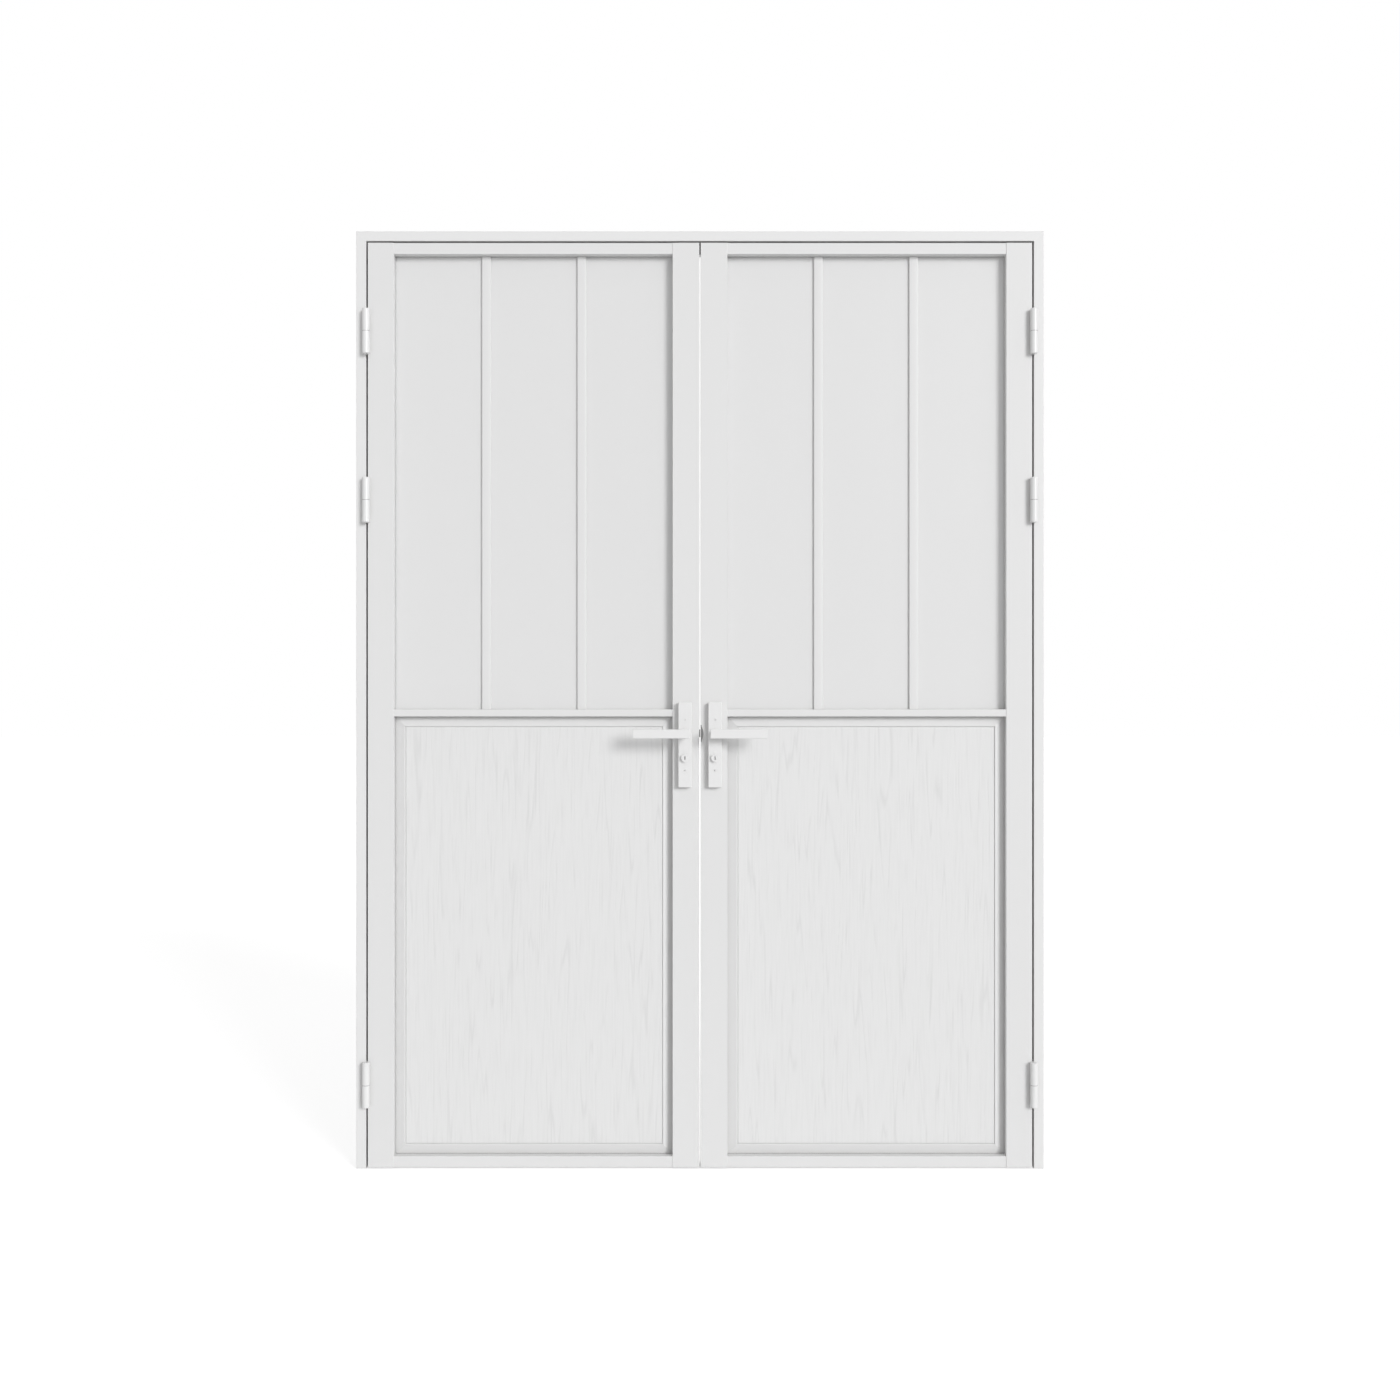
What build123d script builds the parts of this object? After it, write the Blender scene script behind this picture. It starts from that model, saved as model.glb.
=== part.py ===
"""Prehung double door: two glazed leaves in a three-sided frame, without the wall.

Millimetres. +Z is up, +X is to the right and the front faces -Y. The origin is on the floor
line, in the middle of the width, in the middle of the leaves' thickness.
A distance called "out" is measured sideways from the middle of the doorway, the same for
both leaves; side is -1 for the left (active) leaf and +1 for the right (passive) leaf.
"""
from build123d import *
import os

os.makedirs("parts", exist_ok=True)

# Frame
frame_width = 1540.0
frame_height = 2100.0
frame_face = 22.0
frame_depth = 80.0
stop_overlap = 10.0
seal_space = 4.0
profile_wall = 2.2
arris_radius = 0.8
cleat_arm = 58.0
cleat_thickness = 9.0
cleat_clearance = 0.2
fixing_hole_radius = 4.0
fixing_access_radius = 7.0
fixing_hole_depth = 14.0
fixing_holes = 4
fixing_end_margin = 120.0
seal_width = 7.0
seal_foot = 1.2
seal_relief = 0.35
seal_margin = 1.5

# Leaves
leaf_thickness = 56.0
frame_gap = 4.0
meeting_gap = 3.0
floor_gap = 3.0
hinge_stile_width = 58.0
meeting_stile_width = 60.0
meeting_bevel = 2.0
meeting_bevel_depth = 16.0
top_rail_height = 25.0
mid_rail_height = 16.0
mid_rail_level = 1013.0
mid_rail_web = 3.0
bottom_rail_height = 25.0
rail_setback = 1.2
end_cap_depth = 6.0
end_cap_clearance = 0.15

# Glazing
glass_recess = 25.0
pane_thickness = 4.0
pane_space = 8.0
rebate = 10.0
gasket_thickness = 2.0
gasket_width = 4.0
unit_side_clearance = 4.0
unit_block_height = 2.0
setting_block_length = 60.0
spacer_width = 4.5
spacer_inset = 0.2
bar_width = 20.0
bar_thickness = 6.0
bar_edge = 1.5
bars_per_light = 2
bar_end_clearance = 0.3
rear_bead_foot = 1.6
rear_bead_clearance = 0.2
mitre_gap = 0.1

# Lower panel
field_recess = 20.0
field_groove = 2.2
field_edge = 0.8
bead_width = 22.8
bead_clearance = 0.3
bead_recess = 18.0
bead_edge = 1.0
bead_roll = 2.4

# Hinges
lower_hinge_level = 190.0
top_hinge_drop = 200.0
upper_hinge_spacing = 377.0
hinge_length = 101.0
hinge_barrel_radius = 8.5
hinge_pivot_offset = 10.5
hinge_plate_thickness = 1.8
hinge_plate_width = 30.0
hinge_washer_thickness = 1.0
hinge_play = 0.1
hinge_cap = 4.5
hinge_cap_edge = 1.5
pin_radius = 4.0
running_clearance = 0.05
hinge_screw_spread = 38.0
hinge_screw_inset = 18.0
screw_radius = 2.0
screw_head_radius = 3.9
screw_head_depth = 1.6
screw_length = 12.0
countersink_angle = 98

# Handle sets
lever_level = 975.0
backset = 32.0
plate_width = 30.0
plate_length = 190.0
plate_above_lever = 70.0
plate_thickness = 17.0
plate_corner = 3.0
plate_edge = 1.5
plate_skin = 2.5
cylinder_below_lever = 54.0
plate_screw_above = 31.0
plate_screw_below = 82.0
plate_screw_radius = 2.5
plate_screw_head_radius = 4.0
plate_screw_head_height = 2.5
lever_projection = 57.0
lever_bar_height = 20.0
lever_bar_thickness = 10.0
lever_tip = 115.0
lever_root = 10.5
lever_edge = 1.6
lever_neck_radius = 8.5
lever_collar_radius = 10.5
lever_collar_height = 3.0
lever_foot_clearance = 1.0
lever_socket_depth = 30.0
spindle_size = 8.0
spindle_clearance = 0.1
stile_hole_radius = 9.5

# Cylinder with its turn
cylinder_radius = 8.5
cylinder_stand = 7.0
plug_radius = 5.5
keyway_width = 1.8
keyway_height = 8.0
keyway_depth = 12.0
turn_width = 6.0
turn_height = 22.0
turn_projection = 15.0
turning_gap = 0.3
cam_thickness = 9.0
cam_reach = 11.0
cam_width = 6.0
cam_clearance = 0.5

# Locks
case_thickness = 14.0
case_height = 98.0
case_below_lever = 75.0
active_case_width = 44.0
passive_case_width = 34.0
passive_case_inset = 11.0
plate_let_in = 2.2
plate_fit = 0.1
faceplate_width = 22.0
faceplate_length = 140.0
faceplate_screw_margin = 8.0
latch_height = 17.0
latch_thickness = 10.6
latch_length = 19.0
latch_proud = 2.0
latch_slack = 0.15
latch_withdrawal = 2.2
deadbolt_height = 20.0
deadbolt_thickness = 9.0
deadbolt_throw = 14.0
deadbolt_sink = 0.2
deadbolt_heel_width = 3.7
deadbolt_tail_height = 5.0
deadbolt_tail_reach = 10.0
deadbolt_tail_clearance = 1.5
bolt_end_room = 0.5
strike_lip_height = 38.0
strike_lip_reach = 6.0
strike_lip_thickness = 1.2
strike_slack = 0.8
follower_radius = 9.0

# Shoot bolts of the passive leaf
rod_radius = 4.0
rod_wall = 1.3
rod_tip = 2.0
rod_end_gap = 0.5
bolt_throw = 12.0
rod_overlap = 6.0
keep_width = 22.0
keep_length = 60.0
keep_screw_reach = 22.0

# Planes and levels that follow from the sizes above
front = -leaf_thickness / 2
back = leaf_thickness / 2
frame_back = front + frame_depth
stop_front = back + seal_space
seal_inset = frame_face + frame_gap + seal_margin
jamb_outer = frame_width / 2
jamb_inner = jamb_outer - frame_face
leaf_outer = jamb_inner - frame_gap
leaf_inner = meeting_gap / 2
opening_outer = leaf_outer - hinge_stile_width
opening_inner = leaf_inner + meeting_stile_width
opening_middle = (opening_outer + opening_inner) / 2
opening_width = opening_outer - opening_inner
leaf_bottom = floor_gap
head_inner = frame_height - frame_face
leaf_top = head_inner - frame_gap
top_rail_bottom = leaf_top - top_rail_height
mid_rail_top = mid_rail_level + mid_rail_height
bottom_rail_top = leaf_bottom + bottom_rail_height
mid_rebate = (mid_rail_height - mid_rail_web) / 2
glass_front = front + glass_recess
glass_back = glass_front + 2 * pane_thickness + pane_space
rebate_front = glass_front - gasket_thickness
rear_lip_front = glass_back + gasket_thickness
field_front = front + field_recess
hinge_levels = (lower_hinge_level, leaf_top - top_hinge_drop - upper_hinge_spacing,
                leaf_top - top_hinge_drop)
fixing_step = (frame_height - 2 * fixing_end_margin) / (fixing_holes - 1)
fixing_levels = [fixing_end_margin + index * fixing_step for index in range(fixing_holes)]
pivot_out = (jamb_inner + leaf_outer) / 2
pivot_y = front - hinge_pivot_offset
handle_out = leaf_inner + backset
cylinder_level = lever_level - cylinder_below_lever
case_bottom = lever_level - case_below_lever
case_top = case_bottom + case_height
plate_top = lever_level + plate_above_lever
plate_bottom = plate_top - plate_length
plate_screw_levels = (lever_level + plate_screw_above, lever_level - plate_screw_below)
faceplate_middle = (case_bottom + case_top) / 2
case_front_out = leaf_inner + plate_let_in
passive_case_front = case_front_out + passive_case_inset
rod_out = passive_case_front + rod_wall + rod_radius
rod_engagement = bolt_throw + rod_overlap
sides = {"left": -1, "right": 1}


def save(piece, name):
    """Label a finished piece and write it as a file of its own."""
    piece.part.label = name
    export_step(piece.part, f"parts/{name}.step")


def across(side, out, y):
    """A point in plan, from its distance out from the middle of the doorway."""
    return (side * out, y)


def frame_section():
    """Section of jambs and head, as distance in from the frame's outer edge, and depth."""
    stop_in = frame_face + frame_gap + stop_overlap
    return [(0, front), (frame_face, front), (frame_face, stop_front),
            (stop_in, stop_front), (stop_in, frame_back), (0, frame_back)]


def hinge_screw_places(side, out, level):
    return [(side * out, front + hinge_screw_inset, level + step * hinge_screw_spread)
            for step in (-1, 0, 1)]


def bore_hinge_screws(side, out, facing):
    """Clearance holes for the hinge screws through one wall, in the block that calls it."""
    holes = [Plane(origin=place, z_dir=(facing, 0, 0)).location
             for level in hinge_levels for place in hinge_screw_places(side, out, level)]
    with Locations(*holes):
        Hole(radius=screw_radius + running_clearance, depth=2 * profile_wall)


def jamb(side_name, side):
    """Jamb: a hollow extrusion mitred at the top, with hinge screw holes in its face and
    fixing holes that the wall screws pass."""
    outer_corner = Vector(side * jamb_outer, 0, frame_height)
    with BuildPart() as post:
        with BuildSketch(Plane.XY) as section:
            with BuildLine():
                Polyline([across(side, jamb_outer - inward, y) for inward, y in frame_section()],
                         close=True)
            make_face()
            fillet(section.vertices().group_by(Axis.Y)[0], radius=arris_radius)
            offset(amount=-profile_wall, kind=Kind.INTERSECTION, mode=Mode.SUBTRACT)
        extrude(amount=frame_height)
        split(bisect_by=Plane(outer_corner, z_dir=(side, 0, -1)), keep=Keep.TOP)
        for wall_out, facing, radius in ((jamb_outer, -1, fixing_hole_radius),
                                         (jamb_inner, 1, fixing_access_radius)):
            for level in fixing_levels:
                with BuildSketch(Plane(origin=(side * wall_out, fixing_hole_depth, level),
                                       z_dir=(side * facing, 0, 0))):
                    Circle(radius)
                extrude(amount=2 * profile_wall, mode=Mode.SUBTRACT)
        bore_hinge_screws(side, jamb_inner, -side)
    save(post, f"jamb_{side_name}")


def head():
    """Head: the jambs' section, mitred at both ends, cut out for the top bolt's keep."""
    with BuildPart() as beam:
        with BuildSketch(Plane.YZ) as section:
            with BuildLine():
                Polyline([(y, frame_height - inward) for inward, y in frame_section()],
                         close=True)
            make_face()
            fillet(section.vertices().group_by(Axis.X)[0], radius=arris_radius)
            offset(amount=-profile_wall, kind=Kind.INTERSECTION, mode=Mode.SUBTRACT)
        extrude(amount=jamb_outer, both=True)
        for side in sides.values():
            split(bisect_by=Plane((side * jamb_outer, 0, frame_height), z_dir=(-side, 0, 1)),
                  keep=Keep.TOP)
        with BuildSketch(Plane.XY.offset(head_inner)):
            with Locations((rod_out, 0)):
                Rectangle(keep_length, keep_width)
        extrude(amount=profile_wall, mode=Mode.SUBTRACT)
    save(beam, "head")


def corner_cleats():
    """Right angles of plate that join the mitres from inside the chambers."""
    wall = profile_wall + cleat_clearance
    with BuildPart() as cleats:
        for side in sides.values():
            outer_x = jamb_outer - wall
            inner_x = outer_x - cleat_thickness
            end_x = outer_x - cleat_arm
            top_z = frame_height - wall
            with BuildSketch(Plane.XZ.offset(-frame_back + wall + cleat_clearance)):
                with BuildLine():
                    Polyline([(side * outer_x, top_z), (side * end_x, top_z),
                              (side * end_x, top_z - cleat_thickness),
                              (side * inner_x, top_z - cleat_thickness),
                              (side * inner_x, top_z - cleat_arm),
                              (side * outer_x, top_z - cleat_arm)], close=True)
                make_face()
            extrude(amount=frame_depth - 2 * (wall + cleat_clearance))
    save(cleats, "corner_cleats")


def frame_seal():
    """A bulb strip on the face of the stop, down both jambs and across the head."""
    foot = stop_front - seal_foot
    lip = stop_front - seal_space + seal_relief
    with BuildPart() as seal:
        for side in sides.values():
            outer_x = side * (jamb_outer - seal_inset)
            inner_x = side * (jamb_outer - seal_inset - seal_width)
            with BuildSketch(Plane.XY):
                with BuildLine():
                    Polyline([(outer_x, foot), (outer_x, stop_front), (inner_x, stop_front),
                              (inner_x, foot)])
                    ThreePointArc((outer_x, foot), ((outer_x + inner_x) / 2, lip),
                                  (inner_x, foot))
                make_face()
            extrude(amount=frame_height - seal_inset - seal_width - mitre_gap)
        high = frame_height - seal_inset
        low = high - seal_width
        with BuildSketch(Plane.YZ):
            with BuildLine():
                Polyline([(foot, high), (stop_front, high), (stop_front, low), (foot, low)])
                ThreePointArc((foot, high), (lip, (high + low) / 2), (foot, low))
            make_face()
        extrude(amount=jamb_outer - seal_inset, both=True)
    save(seal, "frame_seal")


def ring_sides(width_edges, height_edges):
    """The four sides of a rectangular surround, each as (middle of its outer edge, inward
    direction, outer length), from the outer edges in X and in Z."""
    x_low, x_high = sorted(width_edges)
    z_low, z_high = height_edges
    x_mid = (x_low + x_high) / 2
    z_mid = (z_low + z_high) / 2
    return [((x_mid, 0, z_low), (0, 0, 1), x_high - x_low),
            ((x_mid, 0, z_high), (0, 0, -1), x_high - x_low),
            ((x_low, 0, z_mid), (1, 0, 0), z_high - z_low),
            ((x_high, 0, z_mid), (-1, 0, 0), z_high - z_low)]


def mitred_side(edge_middle, inward, length, outline, curve=None):
    """One mitred length of a surround. The outline is a list of (inward, depth) points,
    closed by a curve of three points where one is given. Made outside other blocks."""
    inward = Vector(inward)
    depth_axis = Vector(0, 1, 0)
    along = inward.cross(depth_axis)
    middle = Vector(edge_middle)
    with BuildPart() as strip:
        with BuildSketch(Plane(origin=middle, x_dir=inward, z_dir=along)):
            with BuildLine():
                if curve:
                    Polyline(outline)
                    ThreePointArc(*curve)
                else:
                    Polyline(outline, close=True)
            make_face()
        extrude(amount=length / 2, both=True)
        for end in (-1, 1):
            corner = middle + along * (end * (length / 2 - mitre_gap))
            split(bisect_by=Plane(corner, z_dir=-inward - along * end), keep=Keep.TOP)
    return strip.part


def surround(width_edges, height_edges, outline, curve=None):
    """Four mitred lengths round a rectangle."""
    with BuildPart() as strips:
        for edge_middle, inward, length in ring_sides(width_edges, height_edges):
            add(mitred_side(edge_middle, inward, length, outline, curve))
    return strips


def stile(side, edge_out, opening_out, bevel):
    """A stile: a hollow extrusion with a glazing rebate open to the back, on its opening side.
    Its outer edge may be bevelled towards the back."""
    toward = 1 if opening_out > edge_out else -1
    groove_out = opening_out - toward * rebate
    with BuildPart() as post:
        with BuildSketch(Plane.XY.offset(leaf_bottom)) as section:
            with BuildLine():
                Polyline([across(side, edge_out, front),
                          across(side, opening_out, front),
                          across(side, opening_out, rebate_front),
                          across(side, groove_out, rebate_front),
                          across(side, groove_out, back),
                          across(side, edge_out + toward * bevel, back),
                          across(side, edge_out, back - meeting_bevel_depth)], close=True)
            make_face()
            fillet(section.vertices().group_by(Axis.Y)[0], radius=arris_radius)
            offset(amount=-profile_wall, kind=Kind.INTERSECTION, mode=Mode.SUBTRACT)
        extrude(amount=leaf_top - leaf_bottom)
    return post


def hinge_stile(side_name, side):
    with BuildPart() as post:
        add(stile(side, leaf_outer, opening_outer, 0).part)
        bore_hinge_screws(side, leaf_outer, side)
    save(post, f"hinge_stile_{side_name}")


def meeting_stile(side_name, side):
    """The meeting stile has holes for the handle set through both faces, and cut-outs in
    its edge: for the faceplate on the active leaf, for the strike plate on the passive one."""
    with BuildPart() as post:
        add(stile(side, leaf_inner, opening_inner, meeting_bevel).part)
        with BuildSketch(Plane.XZ.offset(-back)):
            with Locations((side * handle_out, lever_level)):
                Circle(stile_hole_radius)
            with Locations((side * handle_out, cylinder_level)):
                Circle(cylinder_radius + running_clearance)
            with Locations(*[(side * handle_out, level) for level in plate_screw_levels]):
                Circle(plate_screw_radius + running_clearance)
        extrude(amount=leaf_thickness, mode=Mode.SUBTRACT)
        with BuildSketch(Plane(origin=(side * leaf_inner, 0, faceplate_middle),
                               x_dir=(0, 1, 0), z_dir=(side, 0, 0))):
            Rectangle(faceplate_width, faceplate_length)
        extrude(amount=plate_let_in, mode=Mode.SUBTRACT)
        if side > 0:
            lip_middle = (front - faceplate_width / 2) / 2
            with BuildSketch(Plane(origin=(side * leaf_inner, lip_middle, lever_level),
                                   x_dir=(0, 1, 0), z_dir=(side, 0, 0))):
                Rectangle(-front - faceplate_width / 2, strike_lip_height)
            extrude(amount=plate_let_in, mode=Mode.SUBTRACT)
    save(post, f"meeting_stile_{side_name}")


def rail_section(low, high, groove_low, groove_high):
    """Section of a rail in depth and height. A groove is how much lower or higher its
    back part stops, where the glass or the panel sits behind its front part."""
    face = front + rail_setback
    low_step = [(rebate_front, low), (rebate_front, low + groove_low)] if groove_low else []
    high_step = [(rebate_front, high - groove_high), (rebate_front, high)] if groove_high else []
    return [(face, low), *low_step, (back, low + groove_low), (back, high - groove_high),
            *high_step, (face, high)]


def rail(side, low, high, groove_low, groove_high):
    """A rail butts between the stiles' front parts, and its back part runs on into their
    rebates. It is hollow where it is deep enough for a chamber."""
    groove_inner = opening_inner - rebate
    groove_outer = opening_outer + rebate
    half = (groove_outer - groove_inner) / 2
    middle = (groove_outer + groove_inner) / 2
    with BuildPart() as beam:
        with BuildSketch(Plane.YZ.offset(side * middle)) as section:
            with BuildLine():
                Polyline(rail_section(low, high, groove_low, groove_high), close=True)
            make_face()
            fillet(section.vertices().group_by(Axis.X)[0], radius=arris_radius)
        extrude(amount=half, both=True)
        with BuildSketch(Plane.XY.offset(low)):
            for start, stop in ((groove_inner, opening_inner), (opening_outer, groove_outer)):
                with Locations((side * (start + stop) / 2, (front + rebate_front) / 2)):
                    Rectangle(rebate, rebate_front - front)
        extrude(amount=high - low, mode=Mode.SUBTRACT)
        chamber_low = low + profile_wall
        chamber_high = high - profile_wall
        with BuildSketch(Plane.YZ.offset(side * middle)):
            with Locations(((front + rail_setback + rebate_front) / 2,
                            (chamber_low + chamber_high) / 2)):
                Rectangle(rebate_front - front - rail_setback - 2 * profile_wall,
                          chamber_high - chamber_low)
        extrude(amount=half, both=True, mode=Mode.SUBTRACT)
    return beam


def glass_edges(side):
    inner = opening_inner - rebate + unit_side_clearance
    outer = opening_outer + rebate - unit_side_clearance
    return side * inner, side * outer


glass_low = mid_rail_top - mid_rebate + unit_block_height
glass_high = top_rail_bottom + rebate - unit_side_clearance
board_low = bottom_rail_top - rebate + unit_block_height
board_high = mid_rail_level + mid_rebate - unit_block_height


def glass(side_name, side):
    levels = (glass_low, glass_high)
    edges = glass_edges(side)
    with BuildPart() as panes:
        for pane_front in (glass_front, glass_back - pane_thickness):
            with BuildSketch(Plane.XZ.offset(-pane_front)):
                with Locations((sum(edges) / 2, sum(levels) / 2)):
                    Rectangle(abs(edges[1] - edges[0]), levels[1] - levels[0])
            extrude(amount=-pane_thickness)
    save(panes, f"glass_panes_{side_name}")
    with BuildPart() as spacer:
        with BuildSketch(Plane.XZ.offset(-glass_front - pane_thickness)):
            with Locations((sum(edges) / 2, sum(levels) / 2)):
                Rectangle(abs(edges[1] - edges[0]) - 2 * spacer_inset,
                          levels[1] - levels[0] - 2 * spacer_inset)
                Rectangle(abs(edges[1] - edges[0]) - 2 * spacer_inset - 2 * spacer_width,
                          levels[1] - levels[0] - 2 * spacer_inset - 2 * spacer_width,
                          mode=Mode.SUBTRACT)
        extrude(amount=-pane_space)
    save(spacer, f"glass_spacer_{side_name}")


def gaskets(side_name, side):
    """Rubber frames before and behind the glass unit and the panel, and the rubber blocks
    that the unit and the panel stand on."""
    with BuildPart() as strips:
        for low, high in ((mid_rail_top, top_rail_bottom), (bottom_rail_top, mid_rail_level)):
            for y in (rebate_front, glass_back):
                with BuildSketch(Plane.XZ.offset(-y)):
                    with Locations((side * opening_middle, (low + high) / 2)):
                        Rectangle(opening_width + 2 * gasket_width, high - low + 2 * gasket_width)
                        Rectangle(opening_width, high - low, mode=Mode.SUBTRACT)
                extrude(amount=-gasket_thickness)
        for level in (glass_low - unit_block_height, board_low - unit_block_height):
            with BuildSketch(Plane.XY.offset(level)):
                for share in (-1, 1):
                    with Locations((side * opening_middle + share * opening_width / 4,
                                    (glass_front + glass_back) / 2)):
                        Rectangle(setting_block_length, glass_back - glass_front)
            extrude(amount=unit_block_height)
    save(strips, f"glazing_gaskets_{side_name}")


bar_pitch = (opening_width - bars_per_light * bar_width) / (bars_per_light + 1) + bar_width


def glazing_bars(side_name, side):
    """Slim bars stuck upright to the glass, on its front and on its back."""
    with BuildPart() as bars:
        for surface_y, outward in ((glass_front, -1), (glass_back, 1)):
            with BuildSketch(Plane.XY.offset(mid_rail_top + bar_end_clearance)) as section:
                for index in range(bars_per_light):
                    bar_out = opening_inner + (index + 1) * bar_pitch - bar_width / 2
                    with Locations((side * bar_out, surface_y + outward * bar_thickness / 2)):
                        Rectangle(bar_width, bar_thickness)
                edge_row = section.vertices().sort_by(Axis.Y)
                outer_row = edge_row[:2 * bars_per_light] if outward < 0 \
                    else edge_row[-2 * bars_per_light:]
                chamfer(outer_row, length=bar_edge)
            extrude(amount=top_rail_bottom - mid_rail_top - 2 * bar_end_clearance)
    save(bars, f"glazing_bars_{side_name}")


def rear_beads(side_name, side):
    """Beads that hold the glass unit and the panel from the back, in mitred lengths."""
    groove_edges = (side * (opening_inner - rebate), side * (opening_outer + rebate))
    lip_front = rear_lip_front
    foot_front = glass_back
    with BuildPart() as beads:
        for low, high, low_depth, high_depth in (
                (mid_rail_top, top_rail_bottom, mid_rebate, rebate),
                (bottom_rail_top, mid_rail_level, rebate, mid_rebate)):
            for edge_middle, inward, length in ring_sides(groove_edges,
                                                          (low - low_depth, high + high_depth)):
                reach = rebate
                if inward[2] > 0:
                    reach = low_depth
                if inward[2] < 0:
                    reach = high_depth
                clear = rear_bead_clearance
                add(mitred_side(edge_middle, inward, length,
                                [(clear, foot_front), (clear + rear_bead_foot, foot_front),
                                 (clear + rear_bead_foot, lip_front), (reach, lip_front),
                                 (reach, back), (clear, back)]))
    save(beads, f"rear_beads_{side_name}")


def panel(side_name, side):
    """The lower board: its edges stand in the rebate like the glass, and a field with an
    eased edge is raised on its front, inside the splayed beads."""
    margin = bead_width + field_groove
    with BuildPart() as board:
        with BuildSketch(Plane.XZ.offset(-glass_front)):
            edges = glass_edges(side)
            with Locations((sum(edges) / 2, (board_low + board_high) / 2)):
                Rectangle(abs(edges[1] - edges[0]), board_high - board_low)
        extrude(amount=glass_front - glass_back)
        with BuildSketch(Plane.XZ.offset(-glass_front)):
            with Locations((side * opening_middle, (bottom_rail_top + mid_rail_level) / 2)):
                Rectangle(opening_width - 2 * margin,
                          mid_rail_level - bottom_rail_top - 2 * margin)
        extrude(amount=glass_front - field_front)
        fillet(board.faces().sort_by(Axis.Y)[0].edges(), radius=field_edge)
    save(board, f"panel_{side_name}")


def panel_beads(side_name, side):
    """Splayed bead planted on the front of the board: thin at the stile, it slopes up to a
    rounded crest that stands over the groove round the field."""
    crest = front + bead_recess
    outline = [(bead_width - bead_roll, crest), (bead_clearance, glass_front - bead_edge),
               (bead_clearance, glass_front), (bead_width, glass_front),
               (bead_width, crest + bead_roll / 2)]
    roll = [(bead_width - bead_roll, crest),
            (bead_width - bead_roll / 4, crest + bead_roll / 8),
            (bead_width, crest + bead_roll / 2)]
    beads = surround((side * opening_inner, side * opening_outer),
                     (bottom_rail_top, mid_rail_level), outline, roll)
    save(beads, f"panel_beads_{side_name}")


def end_caps(side_name, side):
    """Plugs in the ends of the hollow stiles. Those of the passive leaf's meeting stile
    guide the shoot bolts."""
    clear = profile_wall + end_cap_clearance
    with BuildPart() as caps:
        for base in (leaf_bottom, leaf_top - end_cap_depth):
            for edge_out, opening_out, bevel in ((leaf_outer, opening_outer, 0),
                                                 (leaf_inner, opening_inner, meeting_bevel)):
                toward = 1 if opening_out > edge_out else -1
                groove_out = opening_out - toward * rebate
                with BuildSketch(Plane.XY.offset(base)):
                    with BuildLine():
                        Polyline([across(side, edge_out, front),
                                  across(side, opening_out, front),
                                  across(side, opening_out, rebate_front),
                                  across(side, groove_out, rebate_front),
                                  across(side, groove_out, back),
                                  across(side, edge_out + toward * bevel, back),
                                  across(side, edge_out, back - meeting_bevel_depth)],
                                 close=True)
                    make_face()
                    offset(amount=-clear, kind=Kind.INTERSECTION, mode=Mode.REPLACE)
                    if side > 0 and edge_out == leaf_inner:
                        with Locations((side * rod_out, 0)):
                            Circle(rod_radius + running_clearance, mode=Mode.SUBTRACT)
                extrude(amount=end_cap_depth)
    save(caps, f"stile_caps_{side_name}")


def countersunk_screw(head_at, direction, length):
    """A screw with its flat head flush at head_at, pointing along direction."""
    axis_dir = Vector(direction)
    radial = Vector(0, 1, 0) if abs(axis_dir.Z) > 0.5 else Vector(0, 0, 1)
    with BuildPart() as screw:
        with BuildSketch(Plane(origin=head_at, x_dir=radial, z_dir=radial.cross(axis_dir))):
            with BuildLine():
                Polyline([(0, 0), (screw_head_radius, 0), (screw_radius, screw_head_depth),
                          (screw_radius, length - screw_radius), (0, length)], close=True)
            make_face()
        revolve(axis=Axis(head_at, direction))
    return screw.part


def screw_seats(seats):
    """Countersunk holes in a plate, one for each (place, outward direction)."""
    with Locations(*[Plane(origin=place, z_dir=outward).location for place, outward in seats]):
        CounterSinkHole(radius=screw_radius + running_clearance,
                        counter_sink_radius=screw_head_radius + running_clearance,
                        depth=3 * profile_wall, counter_sink_angle=countersink_angle)


def hinge_half(side, plate_out, outward, level, knuckle_low, knuckle_high, bore_low, bore_high,
               bore_radius):
    """Half a hinge: a plate in the gap between leaf and frame, a tongue that runs forward
    from it, and one knuckle bored for the pin."""
    low = level - hinge_length / 2
    with BuildPart() as half:
        with BuildSketch(Plane.XY.offset(low)):
            with Locations((side * plate_out, front + hinge_plate_width / 2)):
                Rectangle(hinge_plate_thickness, hinge_plate_width)
        extrude(amount=hinge_length)
        with BuildSketch(Plane.XY.offset(knuckle_low)):
            with Locations((side * plate_out, (front + pivot_y) / 2)):
                Rectangle(hinge_plate_thickness, front - pivot_y)
            with Locations((side * pivot_out, pivot_y)):
                Circle(hinge_barrel_radius)
        extrude(amount=knuckle_high - knuckle_low)
        rim = half.edges().filter_by(GeomType.CIRCLE).sort_by(Axis.Z)
        chamfer(rim[-1] if knuckle_high > level + hinge_washer_thickness else rim[0],
                length=hinge_cap_edge)
        with BuildSketch(Plane.XY.offset(bore_low)):
            with Locations((side * pivot_out, pivot_y)):
                Circle(bore_radius)
        extrude(amount=bore_high - bore_low, mode=Mode.SUBTRACT)
        surface = plate_out + outward * hinge_plate_thickness / 2
        screw_seats([(place, (side * outward, 0, 0))
                     for place in hinge_screw_places(side, surface, level)])
    return half


def hinge_frame_halves():
    """The lower knuckles, fixed to the jambs."""
    half_length = hinge_length / 2
    joint = hinge_washer_thickness / 2
    plate_out = jamb_inner - hinge_plate_thickness / 2
    with BuildPart() as halves:
        for side in sides.values():
            for level in hinge_levels:
                add(hinge_half(side, plate_out, -1, level, level - half_length, level - joint,
                               level - half_length + hinge_cap, level - joint,
                               pin_radius).part)
    save(halves, "hinge_frame_halves")


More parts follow.
